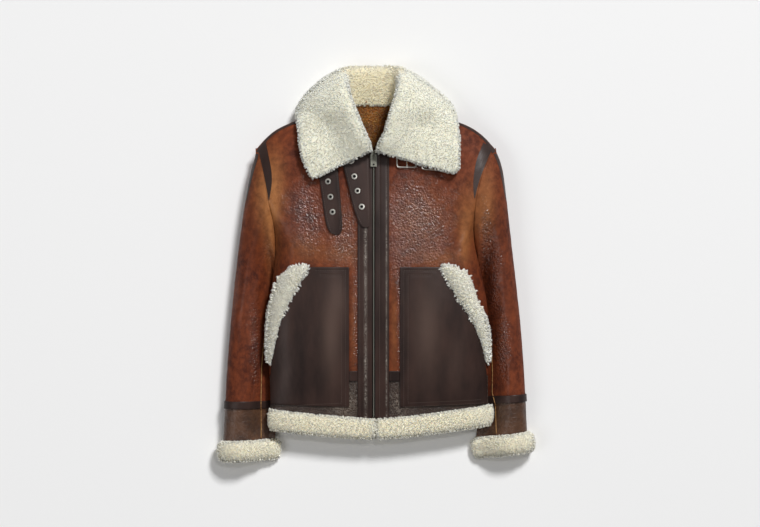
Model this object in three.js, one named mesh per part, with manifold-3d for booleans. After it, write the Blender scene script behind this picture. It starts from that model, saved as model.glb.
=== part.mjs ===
// A leather aviator jacket with a cream shearling collar, hem, cuffs and pocket trims, lying closed on its back.
// Millimetres. X runs across the jacket towards the wearer's left, Y from the hem to the collar,
// and Z up from the surface that the jacket lies on. The zip runs along Y near X = 0.
import * as THREE from "three";
import { mergeVertices } from "three/addons/utils/BufferGeometryUtils.js";
import Module from "manifold-3d";

const wasm = await Module();
wasm.setup();

// Walls, seams and piles
const LEATHER = 3; // the hide of the fronts, back and sleeves
const SEAM = 0.3; // gap between pieces that are sewn edge to edge
const LAID = 0.7; // gap under a piece that is sewn on top of a panel
const TRIM = 1.6; // leather of the tapes and plackets
const POCKET_LEATHER = 2.2;
const STRAP_LEATHER = 2.4;
const COLLAR_WALL = 13; // hide and pile of the collar together
const FUR_ROLL = 18; // through the hem and cuff rolls
const FUR_PROUD = 7; // how far those rolls stand out past the leather
const ZIP_X = -2.7; // the zip's line
const SHOULDER_Y = 216.5; // where the shoulder seam meets the armhole
const ARMPIT_Y = 24;
const WAIST_Y = -212; // seam between the body panels and the hem bands
const ARMHOLE_STEPS = 11; // points on the front of the armhole, and as many on its back
const WEARER_RIGHT = -1;
const WEARER_LEFT = 1;
const SIDES = [
  { sign: WEARER_RIGHT, word: "right" },
  { sign: WEARER_LEFT, word: "left" },
];

// Edge of the body seen from above: the side seam from the hem up to the armpit, then the armhole seam.
const SIDE = [
  { y: -345, right: -199, left: 217 },
  { y: -300, right: -198, left: 216 },
  { y: -255, right: -198, left: 213 },
  { y: -205, right: -200, left: 213 },
  { y: -150, right: -203, left: 214 },
  { y: -95, right: -202, left: 213 },
  { y: -55, right: -197, left: 208 },
  { y: -15, right: -191, left: 199 },
  { y: 24, right: -188, left: 190 },
  { y: 60, right: -188.5, left: 185 },
  { y: 90, right: -194, left: 186 },
  { y: 124, right: -203, left: 190 },
  { y: 160, right: -210, left: 199 },
  { y: 196, right: -218, left: 213 },
  { y: SHOULDER_Y, right: -223, left: 225 },
];

// Heights of the lying body: top of the fronts, height of the side seam, and what the back clears below.
const HEIGHT = [
  { y: -345, crown: 44, side: 30, floor: 5 },
  { y: -290, crown: 48, side: 30, floor: 5 },
  { y: -240, crown: 57, side: 31, floor: 3.4 },
  { y: -200, crown: 63, side: 33, floor: 3 },
  { y: -150, crown: 69, side: 34, floor: 0 },
  { y: -60, crown: 75, side: 36, floor: 0 },
  { y: 60, crown: 76, side: 36, floor: 0 },
  { y: 150, crown: 71, side: 34, floor: 0 },
  { y: 190, crown: 67, side: 33, floor: 1 },
  { y: 244, crown: 57, side: 33, floor: 14 },
  { y: 305, crown: 50, side: 33, floor: 14 },
];

// Shoulder seam and neckline of the back, by distance from the jacket's middle.
const SHOULDER = [
  { out: 0, y: 296 },
  { out: 40, y: 297.5 },
  { out: 67, y: 302 },
  { out: 97, y: 291.5 },
  { out: 125, y: 279.5 },
  { out: 149, y: 269 },
  { out: 180, y: 256.5 },
  { out: 202, y: 241 },
  { out: 224, y: SHOULDER_Y },
];

// Front edge of a front panel: each row starts at this point and runs to the side at height side.
const FRONT_EDGE = [
  { side: -282, inset: 3, y: -296 },
  { side: WAIST_Y, inset: 3, y: WAIST_Y },
  { side: ARMPIT_Y, inset: 3, y: 24 },
  { side: 60, inset: 3, y: 75 },
  { side: 92, inset: 3, y: 122 },
  { side: 124, inset: 3, y: 168 },
  { side: 152, inset: 3, y: 208 },
  { side: 178, inset: 24, y: 228 },
  { side: 198, inset: 46, y: 256 },
  { side: SHOULDER_Y, inset: 66, y: 302 },
];

// Middle of the back at each row, by the row's height at the side.
const BACK_MIDDLE = [
  { side: -282, y: -296 },
  { side: WAIST_Y, y: WAIST_Y },
  { side: ARMPIT_Y, y: 24 },
  { side: 92, y: 130 },
  { side: 155, y: 220 },
  { side: 198, y: 272 },
  { side: SHOULDER_Y, y: 296 },
];

// Outer line of each sleeve seen from above, from the shoulder down, and its inner line under the body.
const SLEEVE = {
  right: [
    { ox: -223, oy: 216.5, ix: -188, iy: 24 },
    { ox: -233, oy: 182, ix: -189.5, iy: 4 },
    { ox: -242.5, oy: 137, ix: -188, iy: -16 },
    { ox: -250.5, oy: 90, ix: -183, iy: -40 },
    { ox: -257.5, oy: 38, ix: -175, iy: -66 },
    { ox: -264.5, oy: -18, ix: -172, iy: -92 },
    { ox: -270.5, oy: -75, ix: -172, iy: -120 },
    { ox: -276, oy: -130, ix: -174, iy: -152 },
    { ox: -281.5, oy: -205, ix: -178, iy: -208 },
    { ox: -284.5, oy: -266, ix: -183, iy: -266 },
    { ox: -286.5, oy: -300, ix: -187, iy: -299 },
    { ox: -288, oy: -337, ix: -189.5, iy: -333 },
  ],
  left: [
    { ox: 225, oy: 216.5, ix: 190, iy: 24 },
    { ox: 240, oy: 186, ix: 194.5, iy: 4 },
    { ox: 246.5, oy: 140, ix: 196, iy: -16 },
    { ox: 252, oy: 92, ix: 193, iy: -40 },
    { ox: 258, oy: 40, ix: 187, iy: -66 },
    { ox: 264.5, oy: -14, ix: 185, iy: -92 },
    { ox: 271, oy: -70, ix: 186, iy: -120 },
    { ox: 276.5, oy: -125, ix: 188, iy: -152 },
    { ox: 282.5, oy: -198, ix: 192, iy: -205 },
    { ox: 285, oy: -252, ix: 195, iy: -258 },
    { ox: 286.5, oy: -288, ix: 196, iy: -296 },
    { ox: 288, oy: -319, ix: 190.5, iy: -331 },
  ],
};

// Sections of both sleeves at those rows: heights of the top, of the outer and inner edges and of the
// underside, the place of the top across the sleeve, and how steeply it falls towards the body.
const SLEEVE_SECTION = [
  { row: 0, top: 70, outer: 33, inner: 36, under: 0, peak: 0.34, fall: 2 },
  { row: 1, top: 64, outer: 29, inner: 22, under: 0, peak: 0.34, fall: 2 },
  { row: 2, top: 60, outer: 26, inner: 12, under: 0, peak: 0.33, fall: 2.2 },
  { row: 3, top: 57, outer: 25, inner: 8, under: 0, peak: 0.32, fall: 2.6 },
  { row: 4, top: 55, outer: 24, inner: 7.5, under: 0, peak: 0.3, fall: 3 },
  { row: 5, top: 54, outer: 24, inner: 7.5, under: 0, peak: 0.3, fall: 3.4 },
  { row: 6, top: 53, outer: 23, inner: 7.5, under: 0, peak: 0.3, fall: 3.4 },
  { row: 7, top: 52, outer: 23, inner: 7.5, under: 0, peak: 0.3, fall: 3.2 },
  { row: 8, top: 50, outer: 22, inner: 8.5, under: 1.6, peak: 0.31, fall: 3.2 },
  { row: 9, top: 48, outer: 22, inner: 11, under: 3.5, peak: 0.32, fall: 3.2 },
  { row: 10, top: 46, outer: 22, inner: 11.5, under: 4.5, peak: 0.32, fall: 3.6 },
  { row: 11, top: 44, outer: 23, inner: 12.5, under: 5, peak: 0.38, fall: 2.2 },
];

// Largest soft folds of the lying fronts: middle, direction from X in degrees, half length, half width, depth.
const FOLDS = [
  { x: -120, y: 60, turn: 80, along: 90, across: 22, depth: 2.5 },
  { x: -70, y: 20, turn: 95, along: 80, across: 16, depth: 2 },
  { x: 120, y: 40, turn: 100, along: 95, across: 20, depth: 3 },
  { x: 70, y: 90, turn: 75, along: 70, across: 16, depth: 2 },
  { x: 150, y: 90, turn: 62, along: 60, across: 14, depth: 2.5 },
  { x: -160, y: 110, turn: 118, along: 55, across: 14, depth: 2.5 },
];

const SHOULDER_ROLL = 54; // how far in from the outer line the fronts have rolled up to full height
const SIDE_ROLL = 50;
const UNDER_ROLL = 46;
const UNDER_TUCK = 76; // how far in from the side seam the back comes down to the floor
const UNDER_POWER = 1.25;
const UNDER_ROLL_SHARE = 0.35; // of the back's height that is a tight roll at the seam
const UNDER_ROLL_WIDTH = 14;
const ROLL_START = THREE.MathUtils.degToRad(15); // slope left at the seam itself
const CAMBER = 5; // fall of the fronts from the zip to the sides
const MID_WIDTH = 210;

const clamp = THREE.MathUtils.clamp;
const lerp = THREE.MathUtils.lerp;

function fade(from, to, at) {
  const u = clamp((at - from) / (to - from), 0, 1);
  return u * u * (3 - 2 * u);
}

// A column of a table at any key, as a smooth curve through the rows that never overshoots them.
function read(table, key, at, column) {
  const last = table.length - 1;
  if (at <= table[0][key]) return table[0][column];
  if (at >= table[last][key]) return table[last][column];
  const low = table.findIndex((row) => row[key] > at) - 1;
  const rise = (i) => (table[i + 1][column] - table[i][column]) / (table[i + 1][key] - table[i][key]);
  const slope = (i) => {
    if (i === 0) return rise(0);
    if (i === last) return rise(last - 1);
    const before = rise(i - 1);
    const after = rise(i);
    return before * after <= 0 ? 0 : (2 * before * after) / (before + after);
  };
  const span = table[low + 1][key] - table[low][key];
  const u = (at - table[low][key]) / span;
  const start = table[low][column];
  const change = table[low + 1][column] - start;
  const a = slope(low) * span - change;
  const b = change - slope(low + 1) * span;
  return start + change * u + u * (1 - u) * (a * (1 - u) + b * u);
}

const wordOf = (sign) => (sign < 0 ? "right" : "left");
const sideX = (sign, y) => read(SIDE, "y", y, wordOf(sign));

// Polylines that the distances are measured to.
function sampled(from, to, steps, pointAt) {
  return Array.from({ length: steps + 1 }, (_, i) => pointAt(lerp(from, to, i / steps)));
}

function outerLine(sign) {
  const shoulder = sampled(67, 224, 14, (out) => [
    (out / 224) * Math.abs(sideX(sign, SHOULDER_Y)) * sign,
    read(SHOULDER, "out", out, "y"),
  ]);
  const sleeve = SLEEVE[wordOf(sign)].slice(1, 9).map((row) => [row.ox, row.oy]);
  return [...shoulder, ...sleeve];
}

const OUTER_LINE = { right: outerLine(WEARER_RIGHT), left: outerLine(WEARER_LEFT) };
const SIDE_LINE = {
  right: sampled(-350, SHOULDER_Y, 44, (y) => [sideX(WEARER_RIGHT, y), y]),
  left: sampled(-350, SHOULDER_Y, 44, (y) => [sideX(WEARER_LEFT, y), y]),
};

function distance(line, x, y) {
  let best = Infinity;
  for (let i = 1; i < line.length; i++) {
    const [ax, ay] = line[i - 1];
    const [bx, by] = line[i];
    const u = clamp(((x - ax) * (bx - ax) + (y - ay) * (by - ay)) / ((bx - ax) ** 2 + (by - ay) ** 2), 0, 1);
    best = Math.min(best, Math.hypot(x - lerp(ax, bx, u), y - lerp(ay, by, u)));
  }
  return best;
}

// How far a rolled edge has risen, from 0 at the edge to 1 a full roll in.
function roll(distanceIn, width) {
  const cosine = Math.cos(ROLL_START) * (1 - clamp(distanceIn / width, 0, 1));
  const start = Math.sin(ROLL_START);
  return (Math.sqrt(1 - cosine * cosine) - start) / (1 - start);
}

function foldDepth(x, y) {
  let depth = 0;
  for (const fold of FOLDS) {
    const turn = THREE.MathUtils.degToRad(fold.turn);
    const u = (x - fold.x) * Math.cos(turn) + (y - fold.y) * Math.sin(turn);
    const v = (y - fold.y) * Math.cos(turn) - (x - fold.x) * Math.sin(turn);
    depth += fold.depth * Math.exp(-((u / fold.along) ** 2) - (v / fold.across) ** 2);
  }
  return depth;
}

// The side seam matters up to the armpit, and less and less from there up the armhole.
const sideShare = (y) => 1 - fade(20, 128, y);

// Height of the jacket's upper outside at a place seen from above.
function frontZ(x, y) {
  const side = x < ZIP_X ? "right" : "left";
  const low = read(HEIGHT, "y", y, "side");
  const fall = CAMBER * ((x - ZIP_X) / MID_WIDTH) ** 2;
  const high = read(HEIGHT, "y", y, "crown") - fall - foldDepth(x, y);
  const shoulder = roll(distance(OUTER_LINE[side], x, y), SHOULDER_ROLL);
  const seam = roll(distance(SIDE_LINE[side], x, y), SIDE_ROLL);
  return low + SEAM / 2 + (high - low) * shoulder * (1 - sideShare(y) * (1 - seam));
}

// Height of its underside.
function backZ(x, y) {
  const side = x < ZIP_X ? "right" : "left";
  const high = read(HEIGHT, "y", y, "side") - SEAM / 2;
  const low = read(HEIGHT, "y", y, "floor");
  const shoulder = roll(distance(OUTER_LINE[side], x, y), UNDER_ROLL);
  const inward = distance(SIDE_LINE[side], x, y);
  const slow = 1 - (1 - clamp(inward / UNDER_TUCK, 0, 1)) ** UNDER_POWER;
  const seam = lerp(slow, roll(inward, UNDER_ROLL_WIDTH), UNDER_ROLL_SHARE);
  return high - (high - low) * shoulder * (1 - sideShare(y) * (1 - seam));
}

const NUDGE = 0.6; // step for slopes, and how far inside an edge they are measured
function normalOf(height, x, y, up, towardsX = x, towardsY = y) {
  const reach = Math.hypot(towardsX - x, towardsY - y) || 1;
  const px = x + ((towardsX - x) / reach) * NUDGE * 1.5;
  const py = y + ((towardsY - y) / reach) * NUDGE * 1.5;
  const dx = (height(px + NUDGE, py) - height(px - NUDGE, py)) / (2 * NUDGE);
  const dy = (height(px, py + NUDGE) - height(px, py - NUDGE)) / (2 * NUDGE);
  return new THREE.Vector3(-dx, -dy, 1).multiplyScalar(up).normalize();
}

// A point on the fronts' outside, moved out along the surface's normal.
function onFront(x, y, lift) {
  const inward = new THREE.Vector2(ZIP_X, y < SHOULDER_Y ? y : 150);
  const normal = normalOf(frontZ, x, y, 1, inward.x, inward.y);
  return new THREE.Vector3(x, y, frontZ(x, y)).addScaledVector(normal, lift);
}

// Solids from grids of points. A grid is an array of rows, and each row an array of points.
function solidFrom(points, faces) {
  const positions = [];
  for (const face of faces) {
    for (let i = 2; i < face.length; i++) {
      for (const corner of [face[0], face[i - 1], face[i]]) positions.push(...points[corner].toArray());
    }
  }
  const loose = new THREE.BufferGeometry();
  loose.setAttribute("position", new THREE.Float32BufferAttribute(positions, 3));
  const merged = mergeVertices(loose, 1e-4);
  const solid = new wasm.Manifold(
    new wasm.Mesh({
      numProp: 3,
      vertProperties: merged.attributes.position.array,
      triVerts: new Uint32Array(merged.index.array),
    }),
  );
  return solid.volume() < 0 ? turned(merged) : solid;
}

function turned(geometry) {
  const triVerts = new Uint32Array(geometry.index.array);
  for (let i = 0; i < triVerts.length; i += 3) [triVerts[i + 1], triVerts[i + 2]] = [triVerts[i + 2], triVerts[i + 1]];
  return new wasm.Manifold(
    new wasm.Mesh({ numProp: 3, vertProperties: geometry.attributes.position.array, triVerts }),
  );
}

function geometryOf(solid) {
  const made = solid.getMesh();
  const geometry = new THREE.BufferGeometry();
  geometry.setAttribute("position", new THREE.BufferAttribute(new Float32Array(made.vertProperties), 3));
  geometry.setIndex(new THREE.BufferAttribute(new Uint32Array(made.triVerts), 1));
  geometry.computeVertexNormals();
  return geometry;
}

// A wall between two grids of the same size. around joins the last point of each row to the first.
function wall(outer, inner, around = false) {
  const rows = outer.length;
  const columns = outer[0].length;
  const points = [...outer.flat(), ...inner.flat()];
  const at = (layer, i, j) => layer * rows * columns + i * columns + (j % columns);
  const faces = [];
  const spans = around ? columns : columns - 1;
  for (let i = 0; i + 1 < rows; i++) {
    for (let j = 0; j < spans; j++) {
      faces.push([at(0, i, j), at(0, i, j + 1), at(0, i + 1, j + 1), at(0, i + 1, j)]);
      faces.push([at(1, i, j), at(1, i + 1, j), at(1, i + 1, j + 1), at(1, i, j + 1)]);
    }
  }
  for (let j = 0; j < spans; j++) {
    faces.push([at(0, 0, j), at(1, 0, j), at(1, 0, j + 1), at(0, 0, j + 1)]);
    faces.push([at(0, rows - 1, j), at(0, rows - 1, j + 1), at(1, rows - 1, j + 1), at(1, rows - 1, j)]);
  }
  if (!around) {
    for (let i = 0; i + 1 < rows; i++) {
      faces.push([at(0, i, 0), at(0, i + 1, 0), at(1, i + 1, 0), at(1, i, 0)]);
      const end = columns - 1;
      faces.push([at(0, i, end), at(1, i, end), at(1, i + 1, end), at(0, i + 1, end)]);
    }
  }
  return solidFrom(points, faces);
}

// A solid through closed sections. ring joins the last section to the first; otherwise both ends are capped.
function loft(sections, ring = false) {
  const size = sections[0].length;
  const faces = [];
  const spans = ring ? sections.length : sections.length - 1;
  for (let i = 0; i < spans; i++) {
    const next = (i + 1) % sections.length;
    for (let j = 0; j < size; j++) {
      const k = (j + 1) % size;
      faces.push([i * size + j, i * size + k, next * size + k, next * size + j]);
    }
  }
  if (!ring) {
    faces.push(Array.from({ length: size }, (_, j) => size - 1 - j));
    faces.push(Array.from({ length: size }, (_, j) => (sections.length - 1) * size + j));
  }
  return solidFrom(sections.flat(), faces);
}

// A panel given by its outside points and normals, with its thickness inwards. Fronts (1) stay above the side
// seam and the back (-1) stays below it.
function panel(cells, thickness, half) {
  const outer = cells.map((row) => row.map((cell) => cell.point));
  const inner = cells.map((row) =>
    row.map((cell) => {
      const point = cell.point.clone().addScaledVector(cell.normal, -thickness);
      const seam = read(HEIGHT, "y", point.y, "side") + (half * SEAM) / 2;
      point.z = half > 0 ? Math.max(point.z, seam) : Math.min(point.z, seam);
      return point;
    }),
  );
  return wall(outer, inner);
}

function steps(count, ease = (u) => u) {
  return Array.from({ length: count + 1 }, (_, i) => ease(i / count));
}

const bothWays = (shares) => [...shares.slice(1).map((s) => -s).reverse(), ...shares];
const toSide = (u) => Math.sin((u * Math.PI) / 2); // closer together towards a side seam
const bothEnds = (u) => (1 - Math.cos(u * Math.PI)) / 2;

// Armhole. Fronts, back and sleeve share its points: from the shoulder at 0 to the armpit at 1.
const armholeY = (share) => lerp(SHOULDER_Y, ARMPIT_Y, share);
const ARMHOLE = steps(ARMHOLE_STEPS - 1, bothEnds);

function armholeCell(sign, share, height, up, piece) {
  const y = armholeY(share);
  const x = sideX(sign, y);
  const point = new THREE.Vector3(x, y, height(x, y));
  const body = normalOf(height, x, y, up, x - sign * 10, y);
  const sleeve = normalOf(height, x, y, up, x + sign * 10, y);
  if (share === 0 || share === 1) {
    body.z = 0;
    sleeve.z = 0;
    body.normalize();
    sleeve.normalize();
  }
  const step = 1;
  const ahead = new THREE.Vector3(sideX(sign, y - step), y - step, height(sideX(sign, y - step), y - step));
  const behind = new THREE.Vector3(sideX(sign, y + step), y + step, height(sideX(sign, y + step), y + step));
  const along = ahead.sub(behind).normalize();
  const out = along.cross(body.clone().add(sleeve)).normalize();
  if (out.x * sign < 0) out.negate();
  const shift = piece === "body" ? -SEAM / 2 : SEAM / 2;
  return { point: point.addScaledVector(out, shift), normal: piece === "body" ? body : sleeve };
}

// Fronts
const FRONT_COLUMNS = 10;
const LOWER_ROWS = [-211.5, -186, -156, -124, -90, -58, -28, 0];

const shoulderY = (sign, x) => read(SHOULDER, "out", (Math.abs(x) / Math.abs(sideX(sign, SHOULDER_Y))) * 224, "y");

// How much of the top row's bow along the shoulder a lower row still has.
const shoulderShare = (side) => clamp((side - 100) / (SHOULDER_Y - 100), 0, 1) ** 1.5;

function frontCell(sign, side, share) {
  const place = (at) => ({
    x: lerp(ZIP_X + sign * read(FRONT_EDGE, "side", at, "inset"), sideX(sign, at), share),
    y: lerp(read(FRONT_EDGE, "side", at, "y"), at, share),
  });
  const top = place(SHOULDER_Y);
  const { x, y } = place(side);
  return { x, y: y + (shoulderY(sign, top.x) - top.y) * shoulderShare(side) };
}

function frontRow(sign, side, armholeShare = null) {
  return steps(FRONT_COLUMNS, toSide).map((share) => {
    if (share === 1 && armholeShare !== null) return armholeCell(sign, armholeShare, frontZ, 1, "body");
    const { x, y } = frontCell(sign, side, share);
    const middle = frontCell(sign, Math.min(side, 120), 0.4);
    const normal = normalOf(frontZ, x, y, 1, middle.x, middle.y);
    if (share === 1 || armholeShare === 0) {
      normal.z = 0;
      normal.normalize();
    }
    return { point: new THREE.Vector3(x, y, frontZ(x, y)), normal };
  });
}

function frontPanel(sign) {
  const lower = LOWER_ROWS.map((side) => frontRow(sign, side));
  const armhole = [...ARMHOLE].reverse().map((share) => frontRow(sign, armholeY(share), share));
  return panel([...lower, ...armhole], LEATHER, 1);
}

// Hem bands: rows from the waist seam at 0 down to the fur at 1.
const BAND_ROWS = [1, 0.7, 0.35, 0];
const HEM_MIDDLE = -293.5;
const HEM_SIDE = { right: -276.5, left: -268 };

const hemY = (sign, out) => lerp(HEM_MIDDLE, HEM_SIDE[wordOf(sign)], out ** 1.4);

function bandPlace(sign, down, out, inset) {
  const end = lerp(WAIST_Y - SEAM, HEM_SIDE[wordOf(sign)], down);
  const y = lerp(WAIST_Y - SEAM, hemY(sign, out), down);
  return { x: lerp(ZIP_X + sign * inset, sideX(sign, end), out), y };
}

function bandCell(sign, down, out, inset, height, up) {
  const { x, y } = bandPlace(sign, down, out, inset);
  const normal = normalOf(height, x, y, up, ZIP_X, y);
  if (out === 1) {
    normal.z = 0;
    normal.normalize();
  }
  return { point: new THREE.Vector3(x, y, height(x, y)), normal };
}

function frontBand(sign) {
  const rows = BAND_ROWS.map((down) =>
    steps(FRONT_COLUMNS, toSide).map((out) => bandCell(sign, down, out, 3, frontZ, 1)),
  );
  return panel(rows, LEATHER, 1);
}

// Back
const BACK_COLUMNS = 10;
const NECK_HALF = 67;

function backRow(side, armholeShare = null) {
  const row = [];
  for (const share of bothWays(steps(BACK_COLUMNS, toSide))) {
    const sign = share < 0 ? WEARER_RIGHT : WEARER_LEFT;
    const out = Math.abs(share);
    if (out === 1 && armholeShare !== null) {
      row.push(armholeCell(sign, armholeShare, backZ, -1, "body"));
      continue;
    }
    const x = lerp(ZIP_X, sideX(sign, side), out);
    const bent = (at) => lerp(read(BACK_MIDDLE, "side", at, "y"), at, out * out);
    const bow = shoulderY(sign, lerp(ZIP_X, sideX(sign, SHOULDER_Y), out)) - bent(SHOULDER_Y);
    const y = bent(side) + bow * shoulderShare(side);
    const normal = normalOf(backZ, x, y, -1, x * 0.9, Math.min(y, 100));
    const atNeck = armholeShare === 0 && Math.abs(x) < NECK_HALF;
    if (out === 1 || (armholeShare === 0 && !atNeck)) {
      normal.z = 0;
      normal.normalize();
    }
    row.push({ point: new THREE.Vector3(x, y, backZ(x, y)), normal });
  }
  return row;
}

function backPanel() {
  const lower = LOWER_ROWS.map((side) => backRow(side));
  const armhole = [...ARMHOLE].reverse().map((share) => backRow(armholeY(share), share));
  return panel([...lower, ...armhole], LEATHER, -1);
}

function backBand() {
  const rows = BAND_ROWS.map((down) =>
    bothWays(steps(BACK_COLUMNS, toSide)).map((out) =>
      bandCell(out < 0 ? WEARER_RIGHT : WEARER_LEFT, down, Math.abs(out), 0, backZ, -1),
    ),
  );
  return panel(rows, LEATHER, -1);
}

// Sleeves: rings from the armhole to the cuff, flat below and rolled above, thinner where the body lies on them.
const FLOOR_OUTER = 0.2;
const FLOOR_INNER = 0.12;
const BODY_PULL = [
  { row: 0, share: 1 },
  { row: 1, share: 0.66 },
  { row: 2, share: 0.34 },
  { row: 3, share: 0.1 },
  { row: 4, share: 0 },
]; // how far a ring still follows the body's surface

function sleeveSection(sign, index) {
  const at = {};
  const plan = SLEEVE[wordOf(sign)].map((place, row) => ({ ...place, row }));
  for (const column of ["ox", "oy", "ix", "iy"]) at[column] = read(plan, "row", index, column);
  for (const column of ["top", "outer", "inner", "under", "peak", "fall"]) {
    at[column] = read(SLEEVE_SECTION, "row", index, column);
  }
  at.pull = read(BODY_PULL, "row", index, "share");
  return at;
}

// A point on the outside of a sleeve: index along it, share across it from the outer to the inner line.
function sleeveTop(sign, index, share) {
  const at = sleeveSection(sign, index);
  const x = lerp(at.ox, at.ix, share);
  const y = lerp(at.oy, at.iy, share);
  const rise = Math.sqrt(1 - clamp(1 - share / at.peak, 0, 1) ** 2);
  const fall = Math.cos((clamp((share - at.peak) / (1 - at.peak), 0, 1) * Math.PI) / 2) ** at.fall;
  const low = share < at.peak ? at.outer : at.inner;
  const own = low + (at.top - low) * (share < at.peak ? rise : fall);
  return new THREE.Vector3(x, y, lerp(own, frontZ(x, y), at.pull));
}

function sleeveUnder(sign, index, share) {
  const at = sleeveSection(sign, index);
  const x = lerp(at.ox, at.ix, share);
  const y = lerp(at.oy, at.iy, share);
  const outer = (at.outer - at.under) * (1 - Math.sqrt(1 - clamp(1 - share / FLOOR_OUTER, 0, 1) ** 2));
  const past = clamp(1 - (1 - share) / FLOOR_INNER, 0, 1);
  const inner = (at.inner - at.under) * (1 - Math.sqrt(1 - past ** 2));
  return new THREE.Vector3(x, y, lerp(at.under + outer + inner, backZ(x, y), at.pull));
}

function sleeveRing(sign, index) {
  const top = ARMHOLE.map((share) => sleeveTop(sign, index, share));
  const under = ARMHOLE.slice(1, -1)
    .reverse()
    .map((share) => sleeveUnder(sign, index, share));
  return [...top, ...under];
}

// A point off a sleeve's upper outside, moved out along its normal.
function onSleeve(sign, index, share, lift) {
  const step = 0.01;
  const along = sleeveTop(sign, index + step, share).sub(sleeveTop(sign, index - step, share));
  const across = sleeveTop(sign, index, share + step).sub(sleeveTop(sign, index, share - step));
  const normal = along.cross(across).normalize();
  if (normal.z < 0) normal.negate();
  return sleeveTop(sign, index, share).addScaledVector(normal, lift);
}

function armholeRing(sign) {
  const top = ARMHOLE.map((share) => armholeCell(sign, share, frontZ, 1, "sleeve"));
  const under = ARMHOLE.slice(1, -1)
    .reverse()
    .map((share) => armholeCell(sign, share, backZ, -1, "sleeve"));
  return [...top, ...under];
}

// Normals of a tube of rings, measured on its own points.
function ringNormals(rings) {
  return rings.map((ring, i) => {
    const before = rings[Math.max(i - 1, 0)];
    const after = rings[Math.min(i + 1, rings.length - 1)];
    return ring.map((_, j) => {
      const last = ring.length;
      const around = ring[(j + 1) % last].clone().sub(ring[(j + last - 1) % last]);
      const along = after[j].clone().sub(before[j]);
      return around.cross(along).normalize();
    });
  });
}

// Depth of a tube's wall at each point of a ring, less where its upper and under sides come close together.
const WALL_SHARE = 0.36; // of the way from one side to the other
function wallDepths(ring, thickness) {
  const last = ring.length;
  const heights = ring.map((point, j) => point.distanceTo(ring[(last - j) % last]));
  return heights.map((height, j) => {
    const room = height || Math.min(heights[(j + 1) % last], heights[(j + last - 1) % last]);
    return Math.min(thickness, WALL_SHARE * room);
  });
}

function tube(rings, thickness, startNormals = null) {
  const normals = ringNormals(rings);
  const middle = rings[1].reduce((sum, p) => sum.add(p), new THREE.Vector3()).divideScalar(rings[1].length);
  const outward = normals[1][3].dot(rings[1][3].clone().sub(middle)) > 0 ? 1 : -1;
  const inner = rings.map((ring, i) => {
    const depths = wallDepths(ring, thickness);
    return ring.map((point, j) => {
      const normal = i === 0 && startNormals ? startNormals[j] : normals[i][j].clone().multiplyScalar(outward);
      return point.clone().addScaledVector(normal, -depths[j]);
    });
  });
  return wall(rings, inner, true);
}

const SLEEVE_RINGS = [0.5, 1.1, 1.8, 2.6, 3.4, 4.3, 5.3, 6.4, 7.6];
const CUFF_SEAM = 9.06; // index of the seam between the sleeve and its cuff band
const CUFF_GAP = 0.012;

function sleevePanel(sign) {
  const start = armholeRing(sign);
  const rings = [start.map((cell) => cell.point), ...SLEEVE_RINGS.map((i) => sleeveRing(sign, i))];
  rings.push(sleeveRing(sign, CUFF_SEAM - CUFF_GAP));
  return tube(
    rings,
    LEATHER,
    start.map((cell) => cell.normal),
  );
}

function cuffBand(sign) {
  const end = SLEEVE.right.length - 1;
  const rings = [CUFF_SEAM, 9.6, 10.3, end].map((i) => sleeveRing(sign, i));
  return tube(rings, LEATHER);
}

// Pieces laid on a panel: a grid of plan places, each with its own lift and thickness.
function onBack(x, y, lift) {
  const normal = normalOf(backZ, x, y, -1, ZIP_X, y);
  return new THREE.Vector3(x, y, backZ(x, y)).addScaledVector(normal, lift);
}

function laid(grid, thickness, lift = LAID, on = onFront) {
  const outer = grid.map((row) => row.map(({ x, y }) => on(x, y, lift + thickness)));
  const inner = grid.map((row) => row.map(({ x, y }) => on(x, y, lift)));
  return wall(outer, inner);
}

// Hand pockets with a curved mouth. inner is the edge by the zip, outer the mouth and then the side edge.
const POCKET = {
  right: [
    { y: -268, inner: -48.8, outer: -195.5 },
    { y: -238, inner: -48.8, outer: -195.5 },
    { y: -200, inner: -48.8, outer: -195 },
    { y: -165, inner: -48.8, outer: -188 },
    { y: -115, inner: -48.8, outer: -177 },
    { y: -64, inner: -48.8, outer: -154.5 },
    { y: -30, inner: -48.8, outer: -135 },
    { y: -7.6, inner: -48.8, outer: -123 },
  ],
  left: [
    { y: -268, inner: 46.7, outer: 209 },
    { y: -238, inner: 46.7, outer: 209 },
    { y: -200, inner: 46.7, outer: 207.5 },
    { y: -165, inner: 46.7, outer: 201 },
    { y: -115, inner: 46.7, outer: 183 },
    { y: -64, inner: 46.7, outer: 152 },
    { y: -30, inner: 46.7, outer: 133 },
    { y: -7.6, inner: 46.7, outer: 120.6 },
  ],
};
const POCKET_ROWS = [-268, -240, -214, -196, -165, -135, -105, -78, -52, -29, -7.6];
const POCKET_SKEW = 5; // the pocket's lower edge rises this much towards the side
const POCKET_LIFT = 1;
const FUR_LIFT = 1.4;

function pocket(sign) {
  const table = POCKET[wordOf(sign)];
  const grid = POCKET_ROWS.map((y, row) =>
    steps(8, toSide).map((share) => ({
      x: lerp(read(table, "y", y, "inner"), read(table, "y", y, "outer"), share),
      y: row === 0 ? y + POCKET_SKEW * (share - 0.5) : y,
    })),
  );
  return laid(grid, POCKET_LEATHER, POCKET_LIFT);
}

// Shearling facing that rolls out of each pocket's mouth and on to the side of the jacket.
const POCKET_FUR_ROWS = [-188, -174, -157, -138, -115, -92, -70, -50, -32, -18, -8];
const POCKET_FUR = [
  { y: -188, width: 5, high: 4 },
  { y: -160, width: 13, high: 7 },
  { y: -115, width: 24, high: 8 },
  { y: -70, width: 33, high: 8.5 },
  { y: -32, width: 42, high: 8 },
  { y: -8, width: 14, high: 4 },
];
const FUR_EDGE = 1.8; // thickness at the edges of a pile
const FUR_CLEAR = 2.6; // kept between the facing and the side seam

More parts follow.
